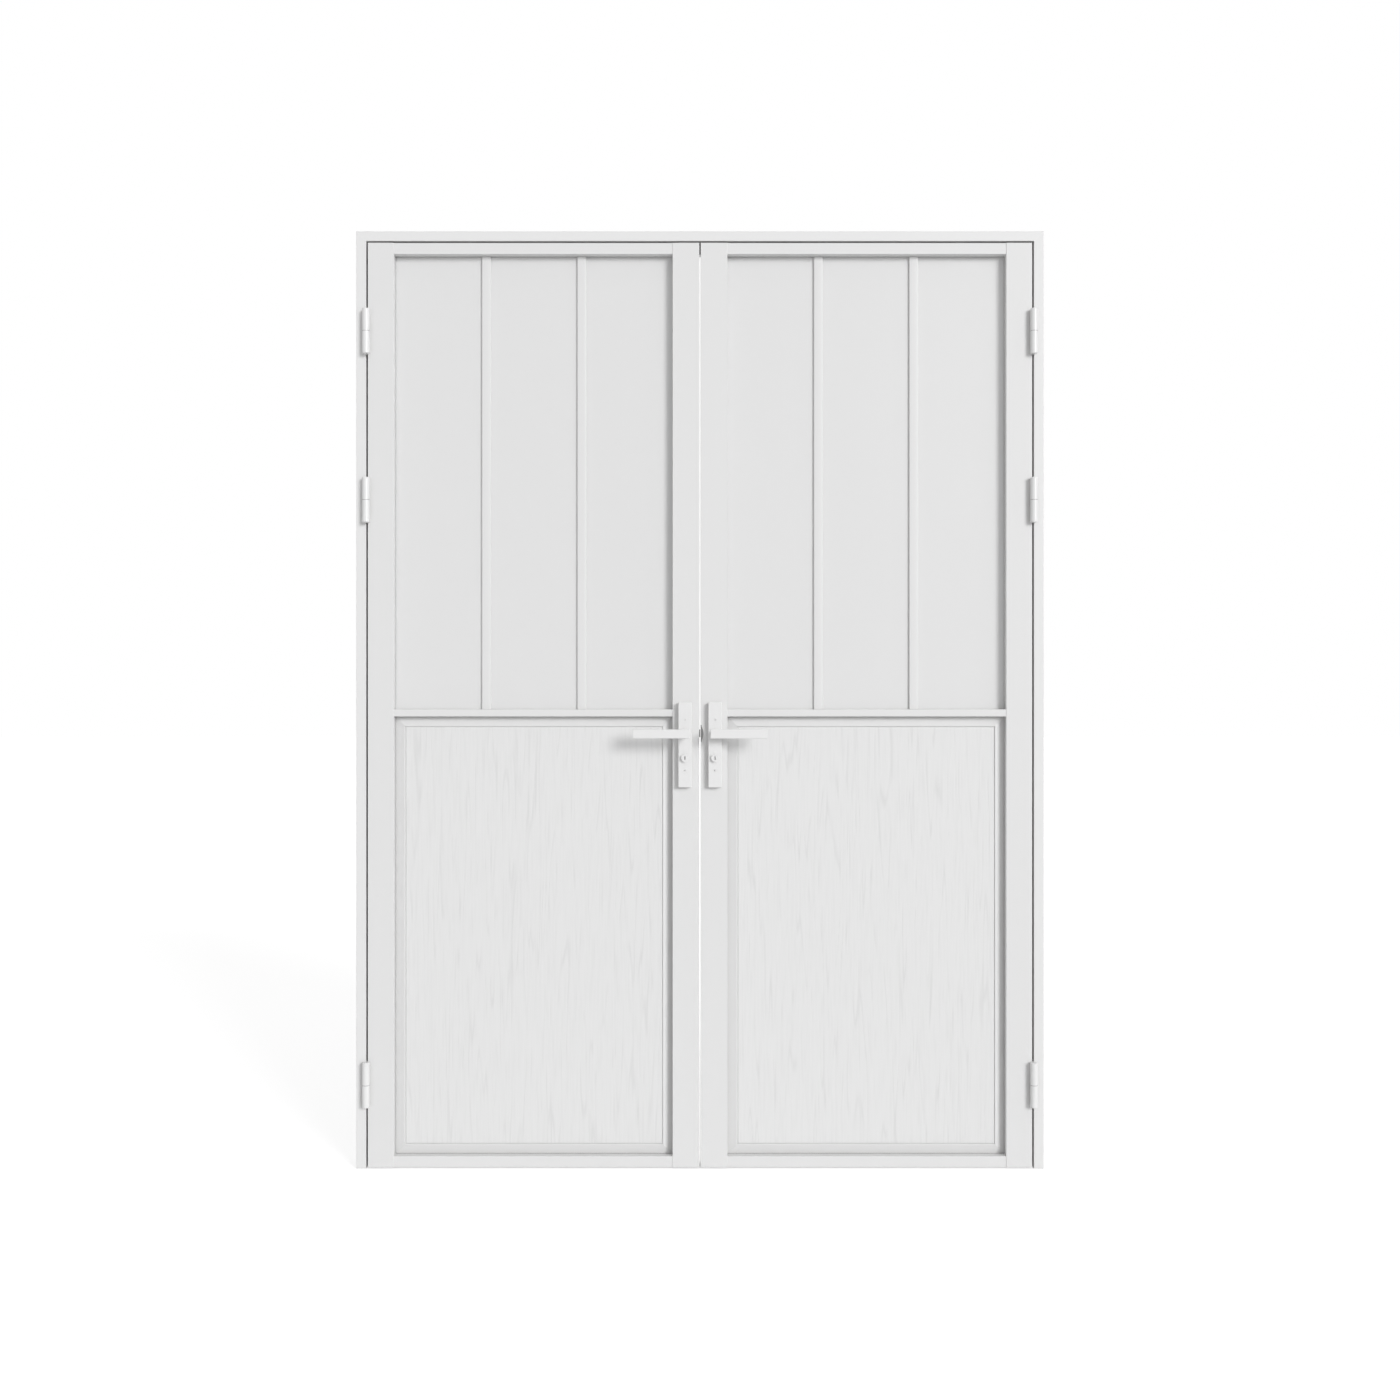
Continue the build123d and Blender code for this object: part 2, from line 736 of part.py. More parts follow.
def hinge_leaf_halves(side_name, side):
    """The upper knuckles, fixed to a leaf, that turn on the pins."""
    half_length = hinge_length / 2
    joint = hinge_washer_thickness / 2
    plate_out = leaf_outer + hinge_plate_thickness / 2
    with BuildPart() as halves:
        for level in hinge_levels:
            add(hinge_half(side, plate_out, 1, level, level + joint, level + half_length,
                           level + joint, level + half_length - hinge_cap,
                           pin_radius + running_clearance).part)
    save(halves, f"hinge_leaf_halves_{side_name}")


def hinge_pins():
    """Pins pressed into the lower knuckles, each with a washer that carries the leaf."""
    reach = hinge_length / 2 - hinge_cap
    with BuildPart() as pins:
        for side in sides.values():
            for level in hinge_levels:
                with BuildSketch(Plane.XY.offset(level - reach)):
                    with Locations((side * pivot_out, pivot_y)):
                        Circle(pin_radius)
                extrude(amount=2 * reach - 2 * hinge_play)
                with BuildSketch(Plane.XY.offset(level - hinge_washer_thickness / 2)):
                    with Locations((side * pivot_out, pivot_y)):
                        Circle(hinge_barrel_radius - hinge_cap_edge / 3)
                extrude(amount=hinge_washer_thickness - hinge_play)
    save(pins, "hinge_pins")


def frame_screws():
    surface = jamb_inner - hinge_plate_thickness
    keep_middle = sides["right"] * rod_out
    with BuildPart() as screws:
        for side in sides.values():
            for level in hinge_levels:
                for place in hinge_screw_places(side, surface, level):
                    add(countersunk_screw(place, (side, 0, 0), screw_length))
        for end in (-1, 1):
            add(countersunk_screw((keep_middle + end * keep_screw_reach, 0, head_inner),
                                  (0, 0, 1), screw_length))
    save(screws, "frame_screws")


def leaf_screws(side_name, side):
    """Countersunk screws of the hinges and of the edge plate, and the long screws that pull
    the two handle plates together through the stile."""
    surface = leaf_outer + hinge_plate_thickness
    reach = faceplate_length / 2 - faceplate_screw_margin
    head_front = front - plate_thickness + running_clearance
    with BuildPart() as screws:
        for level in hinge_levels:
            for place in hinge_screw_places(side, surface, level):
                add(countersunk_screw(place, (-side, 0, 0), screw_length))
        for end in (-1, 1):
            add(countersunk_screw((side * leaf_inner, 0, faceplate_middle + end * reach),
                                  (side, 0, 0), screw_length))
        for level in plate_screw_levels:
            with BuildSketch(Plane.XZ.offset(-head_front)):
                with Locations((side * handle_out, level)):
                    Circle(plate_screw_head_radius)
            extrude(amount=-plate_screw_head_height + running_clearance)
            with BuildSketch(Plane.XZ.offset(-head_front)):
                with Locations((side * handle_out, level)):
                    Circle(plate_screw_radius)
            shank = back + plate_thickness - plate_skin - 2 * running_clearance - head_front
            extrude(amount=-shank)
    save(screws, f"leaf_screws_{side_name}")


def handle_plate(side_name, side, face_name, facing):
    """Escutcheon plate: a long soft-edged plate, bored for the lever's neck, the cylinder
    and two screws. The front one is counterbored for the screw heads."""
    surface = front if facing < 0 else back
    with BuildPart() as plate:
        with BuildSketch(Plane.XZ.offset(-surface)):
            with Locations((side * handle_out, (plate_top + plate_bottom) / 2)):
                RectangleRounded(plate_width, plate_length, plate_corner)
        extrude(amount=-facing * plate_thickness)
        outer_face = plate.faces().sort_by(Axis.Y)[0 if facing < 0 else -1]
        fillet(outer_face.edges(), radius=plate_edge)
        with BuildSketch(Plane.XZ.offset(-surface)):
            with Locations((side * handle_out, lever_level)):
                Circle(lever_neck_radius + running_clearance)
            with Locations((side * handle_out, cylinder_level)):
                Circle(cylinder_radius + running_clearance)
        extrude(amount=-facing * plate_thickness, mode=Mode.SUBTRACT)
        screw_depth = plate_thickness if facing < 0 else plate_thickness - plate_skin
        with BuildSketch(Plane.XZ.offset(-surface)):
            with Locations(*[(side * handle_out, level) for level in plate_screw_levels]):
                Circle(plate_screw_radius + running_clearance)
        extrude(amount=-facing * screw_depth, mode=Mode.SUBTRACT)
        if facing < 0:
            with BuildSketch(Plane.XZ.offset(-surface + plate_thickness)):
                with Locations(*[(side * handle_out, level) for level in plate_screw_levels]):
                    Circle(plate_screw_head_radius + running_clearance)
            extrude(amount=-plate_screw_head_height, mode=Mode.SUBTRACT)
    save(plate, f"{face_name}_plate_{side_name}")


def lever(side_name, side, face_name, facing):
    """Lever: a neck that turns in the plate, with a collar, and a straight flat bar with
    soft edges that points to the hinges. The neck's end has a square socket."""
    surface = front if facing < 0 else back
    bar_middle = lever_projection - lever_bar_thickness / 2
    with BuildPart() as handle:
        foot = Plane.XZ.offset(-surface - facing * lever_foot_clearance)
        with BuildSketch(foot):
            with Locations((side * handle_out, lever_level)):
                Circle(lever_neck_radius)
        extrude(amount=-facing * (bar_middle - lever_foot_clearance))
        collar_at = plate_thickness + turning_gap
        with BuildSketch(Plane.XZ.offset(-surface - facing * collar_at)):
            with Locations((side * handle_out, lever_level)):
                Circle(lever_collar_radius)
        extrude(amount=-facing * lever_collar_height)
        with BuildSketch(Plane.YZ.offset(side * (handle_out - lever_root))):
            with Locations((surface + facing * bar_middle, lever_level)):
                RectangleRounded(lever_bar_thickness, lever_bar_height, lever_edge)
        extrude(amount=side * (lever_root + lever_tip))
        ends = handle.faces().filter_by(Axis.X).sort_by(Axis.X)
        chamfer(ends[0].edges() + ends[-1].edges(), length=lever_edge / 2)
        with BuildSketch(foot):
            with Locations((side * handle_out, lever_level)):
                Rectangle(spindle_size + spindle_clearance, spindle_size + spindle_clearance)
        extrude(amount=-facing * lever_socket_depth, mode=Mode.SUBTRACT)
    save(handle, f"{face_name}_lever_{side_name}")


def spindle(side_name, side):
    """The square spindle, and round it the follower that turns in the case."""
    half_length = back + lever_socket_depth
    with BuildPart() as bar:
        with BuildSketch(Plane.XZ):
            with Locations((side * handle_out, lever_level)):
                Rectangle(spindle_size, spindle_size)
        extrude(amount=half_length, both=True)
        with BuildSketch(Plane.XZ):
            with Locations((side * handle_out, lever_level)):
                Circle(follower_radius)
                Rectangle(spindle_size + spindle_clearance, spindle_size + spindle_clearance,
                          mode=Mode.SUBTRACT)
        extrude(amount=case_thickness / 2, both=True)
    save(bar, f"spindle_{side_name}")


def cylinder(side_name, side):
    """The cylinder's barrel, open at its middle for the cam, and its plug with the cam,
    a keyway at the front and a turn at the back."""
    nose = front - plate_thickness - cylinder_stand
    tail = back + plate_thickness
    with BuildPart() as barrel:
        with BuildSketch(Plane.XZ.offset(-nose)):
            with Locations((side * handle_out, cylinder_level)):
                Circle(cylinder_radius)
                Circle(plug_radius + running_clearance, mode=Mode.SUBTRACT)
        extrude(amount=nose - tail)
        with BuildSketch(Plane.XZ):
            with Locations((side * handle_out, cylinder_level - cam_width / 2 - cam_clearance)):
                Rectangle(4 * cylinder_radius, 2 * cylinder_radius + cam_width,
                          align=(Align.CENTER, Align.MIN))
        extrude(amount=cam_thickness / 2 + 2 * running_clearance, both=True,
                mode=Mode.SUBTRACT)
    save(barrel, f"cylinder_{side_name}")
    with BuildPart() as turn:
        with BuildSketch(Plane.XZ.offset(-nose)):
            with Locations((side * handle_out, cylinder_level)):
                Circle(plug_radius)
        extrude(amount=nose - tail - turning_gap)
        with BuildSketch(Plane.XZ.offset(-nose)):
            with Locations((side * handle_out, cylinder_level)):
                Rectangle(keyway_width, keyway_height)
        extrude(amount=-keyway_depth, mode=Mode.SUBTRACT)
        with BuildSketch(Plane.XZ):
            with Locations((side * handle_out, cylinder_level + cam_reach / 2)):
                Rectangle(cam_width, cam_reach)
        extrude(amount=cam_thickness / 2, both=True)
        with BuildSketch(Plane.XZ.offset(-tail - turning_gap)):
            with Locations((side * handle_out, cylinder_level)):
                Circle(cylinder_radius)
        extrude(amount=-turn_width / 2)
        with BuildSketch(Plane.XZ.offset(-tail - turning_gap)):
            with Locations((side * handle_out, cylinder_level)):
                RectangleRounded(turn_width, turn_height, turn_width / 3)
        extrude(amount=-turn_projection)
    save(turn, f"turn_{side_name}")


def lock_case(side, inner, outer):
    """The closed case, bored for the follower and the cylinder, with room for the cam."""
    with BuildPart() as case:
        with BuildSketch(Plane.XZ):
            with Locations((side * (inner + outer) / 2, (case_bottom + case_top) / 2)):
                Rectangle(outer - inner, case_height)
            with Locations((side * handle_out, lever_level)):
                Circle(follower_radius + running_clearance, mode=Mode.SUBTRACT)
            with Locations((side * handle_out, cylinder_level)):
                Circle(cylinder_radius + running_clearance, mode=Mode.SUBTRACT)
        extrude(amount=case_thickness / 2, both=True)
        with BuildSketch(Plane.XZ):
            with Locations((side * handle_out, cylinder_level)):
                Circle(cam_reach + cam_clearance)
        extrude(amount=cam_thickness / 2 + cam_clearance, both=True, mode=Mode.SUBTRACT)
    return case


def let_in_plate(side, latch_width, deadbolt_width, slack):
    """A plate let into the meeting edge, with openings for the latch and the deadbolt."""
    with BuildPart() as plate:
        with BuildSketch(Plane(origin=(side * leaf_inner, 0, faceplate_middle),
                               x_dir=(0, 1, 0), z_dir=(side, 0, 0))) as outline:
            Rectangle(faceplate_width - 2 * plate_fit, faceplate_length - 2 * plate_fit)
            rise = 1 if outline.workplanes[0].y_dir.Z > 0 else -1
            for level, width, height in ((lever_level, latch_width, latch_height),
                                         (cylinder_level, deadbolt_width, deadbolt_height)):
                with Locations((0, rise * (level - faceplate_middle))):
                    Rectangle(width + 2 * slack, height + 2 * slack, mode=Mode.SUBTRACT)
        extrude(amount=plate_let_in)
        reach = faceplate_length / 2 - faceplate_screw_margin
        screw_seats([((side * leaf_inner, 0, faceplate_middle + end * reach), (-side, 0, 0))
                     for end in (-1, 1)])
    return plate


def channel(side, inner, outer, low, high, thickness):
    """Room in the case for a bolt that slides across."""
    with BuildPart() as room:
        with BuildSketch(Plane.XZ):
            with Locations((side * (inner + outer) / 2, (low + high) / 2)):
                Rectangle(outer - inner, high - low)
        extrude(amount=thickness / 2 + latch_slack, both=True)
    return room.part


# Where the deadbolt, its heel and its tail lie at rest. Thrown, the heel's front still stays
# inside the faceplate.
deadbolt_out = leaf_inner + deadbolt_sink
heel_inner = case_front_out + deadbolt_throw + bolt_end_room
heel_outer = heel_inner + deadbolt_heel_width
tail_low = cylinder_level + cam_reach + deadbolt_tail_clearance
tail_high = tail_low + deadbolt_tail_height
tail_end = handle_out + deadbolt_tail_reach


def active_lock():
    """Left leaf: lock case with channels for the spring latch and the deadbolt."""
    side = sides["left"]
    case_end = case_front_out + active_case_width
    latch_end = leaf_inner - latch_proud + latch_length
    with BuildPart() as case:
        add(lock_case(side, case_front_out, case_end).part)
        for outer, low, high, thickness in (
                (latch_end + latch_withdrawal, lever_level - latch_height / 2,
                 lever_level + latch_height / 2, latch_thickness),
                (heel_outer, cylinder_level - deadbolt_height / 2, tail_high,
                 deadbolt_thickness),
                (tail_end, tail_low, tail_high, deadbolt_thickness)):
            add(channel(side, case_front_out, outer + bolt_end_room, low - latch_slack,
                        high + latch_slack, thickness), mode=Mode.SUBTRACT)
        add(let_in_plate(side, latch_thickness, deadbolt_thickness, latch_slack).part)
    save(case, "lock_case")

    with BuildPart() as latch:
        tip = leaf_inner - latch_proud
        half = latch_thickness / 2
        with BuildSketch(Plane.XY.offset(lever_level - latch_height / 2)):
            with BuildLine():
                Polyline([across(side, tip, -half), across(side, tip, -half + latch_proud),
                          across(side, tip + latch_thickness - latch_proud, half),
                          across(side, latch_end, half), across(side, latch_end, -half)],
                         close=True)
            make_face()
        extrude(amount=latch_height)
    save(latch, "latch")

    with BuildPart() as deadbolt:
        with BuildSketch(Plane.XZ):
            with BuildLine():
                low = cylinder_level - deadbolt_height / 2
                high = cylinder_level + deadbolt_height / 2
                Polyline([(side * deadbolt_out, low), (side * heel_outer, low),
                          (side * heel_outer, tail_low), (side * tail_end, tail_low),
                          (side * tail_end, tail_high), (side * heel_inner, tail_high),
                          (side * heel_inner, high), (side * deadbolt_out, high)], close=True)
            make_face()
        extrude(amount=deadbolt_thickness / 2, both=True)
    save(deadbolt, "deadbolt")


def passive_lock():
    """Right leaf: bolt gear in a case, the strike plate and the two shoot bolts."""
    side = sides["right"]
    case_end = passive_case_front + passive_case_width
    with BuildPart() as case:
        add(lock_case(side, passive_case_front, case_end).part)
        for level, height in ((case_top, -rod_engagement), (case_bottom, rod_engagement)):
            with BuildSketch(Plane.XY.offset(level)):
                with Locations((side * rod_out, 0)):
                    Circle(rod_radius + running_clearance)
            depth = height + (rod_end_gap if height > 0 else -rod_end_gap)
            extrude(amount=depth, mode=Mode.SUBTRACT)
    save(case, "bolt_gear_case")

    for name, start, end in (("top_bolt", case_top - rod_engagement, leaf_top - rod_end_gap),
                             ("bottom_bolt", case_bottom + rod_engagement,
                              leaf_bottom + rod_end_gap)):
        with BuildPart() as rod:
            with BuildSketch(Plane.XY.offset(start)):
                with Locations((side * rod_out, 0)):
                    Circle(rod_radius)
            extrude(amount=end - start)
            ends = rod.edges().filter_by(GeomType.CIRCLE).sort_by(Axis.Z)
            chamfer(ends[-1] if end > start else ends[0], length=rod_tip)
        save(rod, name)

    with BuildPart() as strike:
        add(let_in_plate(side, latch_thickness, latch_thickness, strike_slack).part)
        lip_middle = (front - faceplate_width / 2) / 2
        lip_width = -front - faceplate_width / 2 + 2 * plate_fit
        half = strike_lip_height / 2 - plate_fit
        with BuildSketch(Plane(origin=(side * leaf_inner, lip_middle, lever_level),
                               x_dir=(0, 1, 0), z_dir=(side, 0, 0))):
            Rectangle(lip_width, 2 * half)
        extrude(amount=plate_let_in)
        with BuildSketch(Plane.XZ.offset(-front)):
            with BuildLine():
                Line((side * leaf_inner, lever_level - half),
                     (side * leaf_inner, lever_level + half))
                ThreePointArc((side * leaf_inner, lever_level - half),
                              (side * (leaf_inner + strike_lip_reach), lever_level),
                              (side * leaf_inner, lever_level + half))
            make_face()
        extrude(amount=strike_lip_thickness)
    save(strike, "strike_plate")

    with BuildPart() as keep:
        with BuildSketch(Plane.XY.offset(head_inner)):
            with Locations((side * rod_out, 0)):
                Rectangle(keep_length - 2 * plate_fit, keep_width - 2 * plate_fit)
                Circle(rod_radius + strike_slack, mode=Mode.SUBTRACT)
        extrude(amount=plate_let_in)
        screw_seats([((side * rod_out + end * keep_screw_reach, 0, head_inner), (0, 0, -1))
                     for end in (-1, 1)])
    save(keep, "head_keep")


# Make everything
head()
corner_cleats()
frame_seal()
for side_name, side in sides.items():
    jamb(side_name, side)
    hinge_stile(side_name, side)
    meeting_stile(side_name, side)
    top = rail(side, top_rail_bottom, leaf_top, rebate, 0)
    save(top, f"top_rail_{side_name}")
    middle = rail(side, mid_rail_level, mid_rail_top, mid_rebate, mid_rebate)
    save(middle, f"mid_rail_{side_name}")
    bottom = rail(side, leaf_bottom, bottom_rail_top, 0, rebate)
    save(bottom, f"bottom_rail_{side_name}")
    end_caps(side_name, side)
    glass(side_name, side)
    gaskets(side_name, side)
    glazing_bars(side_name, side)
    rear_beads(side_name, side)
    panel(side_name, side)
    panel_beads(side_name, side)
    hinge_leaf_halves(side_name, side)
    leaf_screws(side_name, side)
    for face_name, facing in (("front", -1), ("back", 1)):
        handle_plate(side_name, side, face_name, facing)
        lever(side_name, side, face_name, facing)
    spindle(side_name, side)
    cylinder(side_name, side)
hinge_frame_halves()
hinge_pins()
frame_screws()
active_lock()
passive_lock()
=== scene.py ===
# %% [markdown]
# # A prehung double door
#
# This notebook dresses a finished door: two painted leaves of aluminium section in a
# three-sided frame, with glass above, a grained board below, barrel hinges and lever handles.
# The solid model arrives as fixed pieces that already have the right shape and move on the
# right hinges. Most of the work here is finish: paint, board, glass, metal and rubber, plus the
# small things that a plain solid lacks, such as screw recesses and the relief of the grain.
# The pieces could all be modelled again, but then their sizes would drift from the solid
# model. So a piece is made again only where it gains detail, and it stays in the same space.

import math

import bmesh
import bpy
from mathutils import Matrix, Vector, noise


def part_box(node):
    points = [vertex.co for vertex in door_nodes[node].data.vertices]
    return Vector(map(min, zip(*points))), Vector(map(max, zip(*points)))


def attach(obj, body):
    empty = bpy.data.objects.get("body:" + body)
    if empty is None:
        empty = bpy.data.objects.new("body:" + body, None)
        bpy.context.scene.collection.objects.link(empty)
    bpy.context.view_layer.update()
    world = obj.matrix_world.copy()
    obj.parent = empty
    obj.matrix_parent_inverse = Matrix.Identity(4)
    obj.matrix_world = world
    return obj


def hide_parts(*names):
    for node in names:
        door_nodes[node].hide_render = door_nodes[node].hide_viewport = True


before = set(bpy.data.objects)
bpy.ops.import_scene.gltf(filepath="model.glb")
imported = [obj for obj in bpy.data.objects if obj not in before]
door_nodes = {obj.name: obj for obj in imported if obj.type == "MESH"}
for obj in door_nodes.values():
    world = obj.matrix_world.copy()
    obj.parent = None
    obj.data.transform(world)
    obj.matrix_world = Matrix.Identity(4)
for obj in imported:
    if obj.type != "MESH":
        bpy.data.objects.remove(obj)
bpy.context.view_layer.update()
SIDES = {"left": -1, "right": 1}

# %% [markdown]
# ## Camera
#
# The photograph looks at the door square on from about three and a half metres, at half its
# height, so upright lines stay upright and no lens shift is needed. The distance shows in how
# much of each reveal can be seen: a longer lens from further away would hide them.

# %% Place the camera
EYE_HEIGHT = 1.05
EYE_DISTANCE = 3.53
FIELD_OF_VIEW = math.radians(48.23)

camera_data = bpy.data.cameras.new("camera")
camera_data.sensor_width = 36.0
camera_data.lens = camera_data.sensor_width / 2 / math.tan(FIELD_OF_VIEW / 2)
camera = bpy.data.objects.new("camera", camera_data)
camera.location = (0, -EYE_DISTANCE, EYE_HEIGHT)
camera.rotation_euler = (math.radians(90), 0, 0)
bpy.context.scene.collection.objects.link(camera)
bpy.context.scene.camera = camera
bpy.context.scene.view_settings.view_transform = "Standard"
print("lens:", round(camera_data.lens, 2), "mm")

# %% [markdown]
# ## Helpers for node trees
#
# Both materials and Geometry Nodes are trees of nodes. Adding each node by hand takes four or
# five lines, so two short helpers do it: one adds a node with its settings, values and links,
# the other starts a reusable group with named inputs and outputs.

# %% Node helpers


def add_node(tree, kind, values=None, links=None, **settings):
    """Add a node. Settings are its own properties, values and links go to its inputs."""
    made = tree.nodes.new(kind)
    for key, value in settings.items():
        setattr(made, key, value)
    for key, value in (values or {}).items():
        made.inputs[key].default_value = value
    for key, source in (links or {}).items():
        tree.links.new(source, made.inputs[key])
    return made


def new_group(name, tree_type, inputs, outputs):
    """Start a node group. Inputs are (name, socket type, default), outputs (name, type)."""
    tree = bpy.data.node_groups.new(name, tree_type)
    for label, socket_type, default in inputs:
        socket = tree.interface.new_socket(name=label, in_out="INPUT", socket_type=socket_type)
        if default is not None:
            socket.default_value = default
    for label, socket_type in outputs:
        tree.interface.new_socket(name=label, in_out="OUTPUT", socket_type=socket_type)
    return tree, tree.nodes.new("NodeGroupInput").outputs, tree.nodes.new("NodeGroupOutput")


def math_node(tree, operation, first, second):
    """A Math node; each side is a number or a socket."""
    made = tree.nodes.new("ShaderNodeMath")
    made.operation = operation
    for index, source in enumerate((first, second)):
        if isinstance(source, (int, float)):
            made.inputs[index].default_value = source
        else:
            tree.links.new(source, made.inputs[index])
    return made.outputs[0]


# %% [markdown]
# ## Floor and light
#
# The picture has a plain white ground and one soft light from the right, a little above.
# A sun lamp with a wide angle gives parallel light with soft edges, so both leaves are lit
# alike; an area lamp close by would make the right leaf brighter. A sky that is a little
# brighter overhead fills the shadows. The ground is white because the floor and the sky are,
# for rays that come from the camera or by way of glass and gloss. No extra light falls on the
# door for that.

# %% Which rays see the white ground


def sees_ground(tree):
    """1 for rays from the camera and by way of gloss or glass, 0 for those that light."""
    path = tree.nodes.new("ShaderNodeLightPath").outputs
    return math_node(tree, "MAXIMUM", path["Is Camera Ray"],
                     math_node(tree, "MAXIMUM", path["Is Glossy Ray"],
                               path["Is Transmission Ray"]))


# %% Sky
SKY_FILL = 0.5
SKY_OVERHEAD = 1.35
SKY_LEVEL = 0.9
SKY_SEEN = 1.0

sky = bpy.data.worlds.new("sky")
sky.use_nodes = True
bpy.context.scene.world = sky
sky_tree = sky.node_tree
sky_up = add_node(sky_tree, "ShaderNodeSeparateXYZ", links={
    0: sky_tree.nodes.new("ShaderNodeTexCoord").outputs["Generated"]})
sky_dome = add_node(sky_tree, "ShaderNodeMapRange",
                    {"To Min": SKY_FILL * SKY_LEVEL, "To Max": SKY_FILL * SKY_OVERHEAD},
                    {"Value": sky_up.outputs["Z"]})
sky_strength = add_node(sky_tree, "ShaderNodeMix", {3: SKY_SEEN},
                        {0: sees_ground(sky_tree), 2: sky_dome.outputs[0]}, data_type="FLOAT")
sky_tree.links.new(sky_strength.outputs[0], sky_tree.nodes["Background"].inputs["Strength"])
sky_tree.nodes["Background"].inputs["Color"].default_value = (1, 1, 1, 1)

# %% Sun
SUN_FROM = Vector((0.66, -1.0, 0.34))
SUN_STRENGTH = 1.85
SUN_ANGLE = math.radians(22)

sun_data = bpy.data.lights.new("soft_sun", "SUN")
sun_data.energy = SUN_STRENGTH
sun_data.angle = SUN_ANGLE
sun = bpy.data.objects.new("soft_sun", sun_data)
sun.rotation_euler = SUN_FROM.to_track_quat("Z", "Y").to_euler()
bpy.context.scene.collection.objects.link(sun)

# %% Floor
FLOOR_REACH = 40.0
FLOOR_WHITE = 0.8
FLOOR_GLOW = 0.5

floor_mesh = bpy.data.meshes.new("floor")
floor_mesh.from_pydata([(-FLOOR_REACH, -FLOOR_REACH, 0), (FLOOR_REACH, -FLOOR_REACH, 0),
                        (FLOOR_REACH, FLOOR_REACH, 0), (-FLOOR_REACH, FLOOR_REACH, 0)],
                       [], [(0, 1, 2, 3)])
floor = bpy.data.objects.new("floor", floor_mesh)
bpy.context.scene.collection.objects.link(floor)

floor_paint = bpy.data.materials.new("studio_floor")
floor_paint.use_nodes = True
floor_tree = floor_paint.node_tree
floor_tree.nodes.clear()
floor_base = add_node(floor_tree, "ShaderNodeBsdfDiffuse",
                      {"Color": (FLOOR_WHITE, FLOOR_WHITE, FLOOR_WHITE, 1)})
floor_glow = add_node(floor_tree, "ShaderNodeEmission",
                      links={"Strength": math_node(floor_tree, "MULTIPLY",
                                                   sees_ground(floor_tree), FLOOR_GLOW)})
floor_sum = add_node(floor_tree, "ShaderNodeAddShader",
                     links={0: floor_base.outputs[0], 1: floor_glow.outputs[0]})
add_node(floor_tree, "ShaderNodeOutputMaterial", links={"Surface": floor_sum.outputs[0]})
floor_mesh.materials.append(floor_paint)
print("sky", SKY_FILL, "sun", SUN_STRENGTH)

# %% [markdown]
# ## Effects that several finishes share
#
# Sprayed paint, arrises that are worn and painted lighter as a highlight, dust and painted
# shade in corners, and a slow drift in tone turn up on paint, metal and plastic alike. Each is
# a node group, built once and placed in a material with that material's own values. The groups
# read Object coordinates, so the pattern stays on its piece when the leaf swings. They give out
# colours, masks and normals only, because shaders have to stay in the material itself.

# %% Slow drift in tone


def object_point(tree):
    return tree.nodes.new("ShaderNodeTexCoord").outputs["Object"]


drift_group, drift_in, drift_out = new_group(
    "tone_drift", "ShaderNodeTree",
    [("Color", "NodeSocketColor", (0.8, 0.8, 0.8, 1)), ("Amount", "NodeSocketFloat", 0.02),
     ("Scale", "NodeSocketFloat", 3.0)],
    [("Color", "NodeSocketColor")])
drift_noise = add_node(drift_group, "ShaderNodeTexNoise", {"Detail": 3.0},
                       {"Vector": object_point(drift_group), "Scale": drift_in["Scale"]})
drift_value = math_node(drift_group, "ADD", 1.0, math_node(
    drift_group, "MULTIPLY", drift_in["Amount"],
    math_node(drift_group, "SUBTRACT", drift_noise.outputs[0], 0.5)))
drift_mixed = add_node(drift_group, "ShaderNodeHueSaturation",
                       links={"Color": drift_in["Color"], "Value": drift_value})
drift_group.links.new(drift_mixed.outputs[0], drift_out.inputs["Color"])

# %% Fine skin of sprayed paint

peel_group, peel_in, peel_out = new_group(
    "sprayed_skin", "ShaderNodeTree",
    [("Scale", "NodeSocketFloat", 900.0), ("Depth", "NodeSocketFloat", 0.00003),
     ("Roughness", "NodeSocketFloat", 0.4)],
    [("Normal", "NodeSocketVector"), ("Roughness", "NodeSocketFloat")])
peel_noise = add_node(peel_group, "ShaderNodeTexNoise", {"Detail": 2.0},
                      {"Vector": object_point(peel_group), "Scale": peel_in["Scale"]})
peel_bump = add_node(peel_group, "ShaderNodeBump", {"Strength": 0.6},
                     {"Height": peel_noise.outputs[0], "Distance": peel_in["Depth"]})
peel_group.links.new(peel_bump.outputs[0], peel_out.inputs["Normal"])
peel_rough = math_node(peel_group, "ADD", peel_in["Roughness"], math_node(
    peel_group, "MULTIPLY", 0.1, math_node(peel_group, "SUBTRACT", peel_noise.outputs[0], 0.5)))
peel_group.links.new(peel_rough, peel_out.inputs["Roughness"])

# %% Arrises worn and lit by a painted highlight

# Every arris gets a lighter colour: partly rub wear, partly a painted highlight along the edge.
wear_highlight_group, wear_highlight_in, wear_highlight_out = new_group(
    "edge_wear_and_painted_highlight", "ShaderNodeTree",
    [("Radius", "NodeSocketFloat", 0.0012), ("Amount", "NodeSocketFloat", 1.0)],
    [("Mask", "NodeSocketFloat")])
wear_highlight_bevel = add_node(wear_highlight_group, "ShaderNodeBevel", links={"Radius": wear_highlight_in["Radius"]}, samples=4)
wear_highlight_plain = wear_highlight_group.nodes.new("ShaderNodeNewGeometry").outputs["Normal"]
wear_highlight_dot = add_node(wear_highlight_group, "ShaderNodeVectorMath", operation="DOT_PRODUCT",
                   links={0: wear_highlight_bevel.outputs[0], 1: wear_highlight_plain})
wear_highlight_turn = math_node(wear_highlight_group, "SUBTRACT", 1.0, wear_highlight_dot.outputs["Value"])
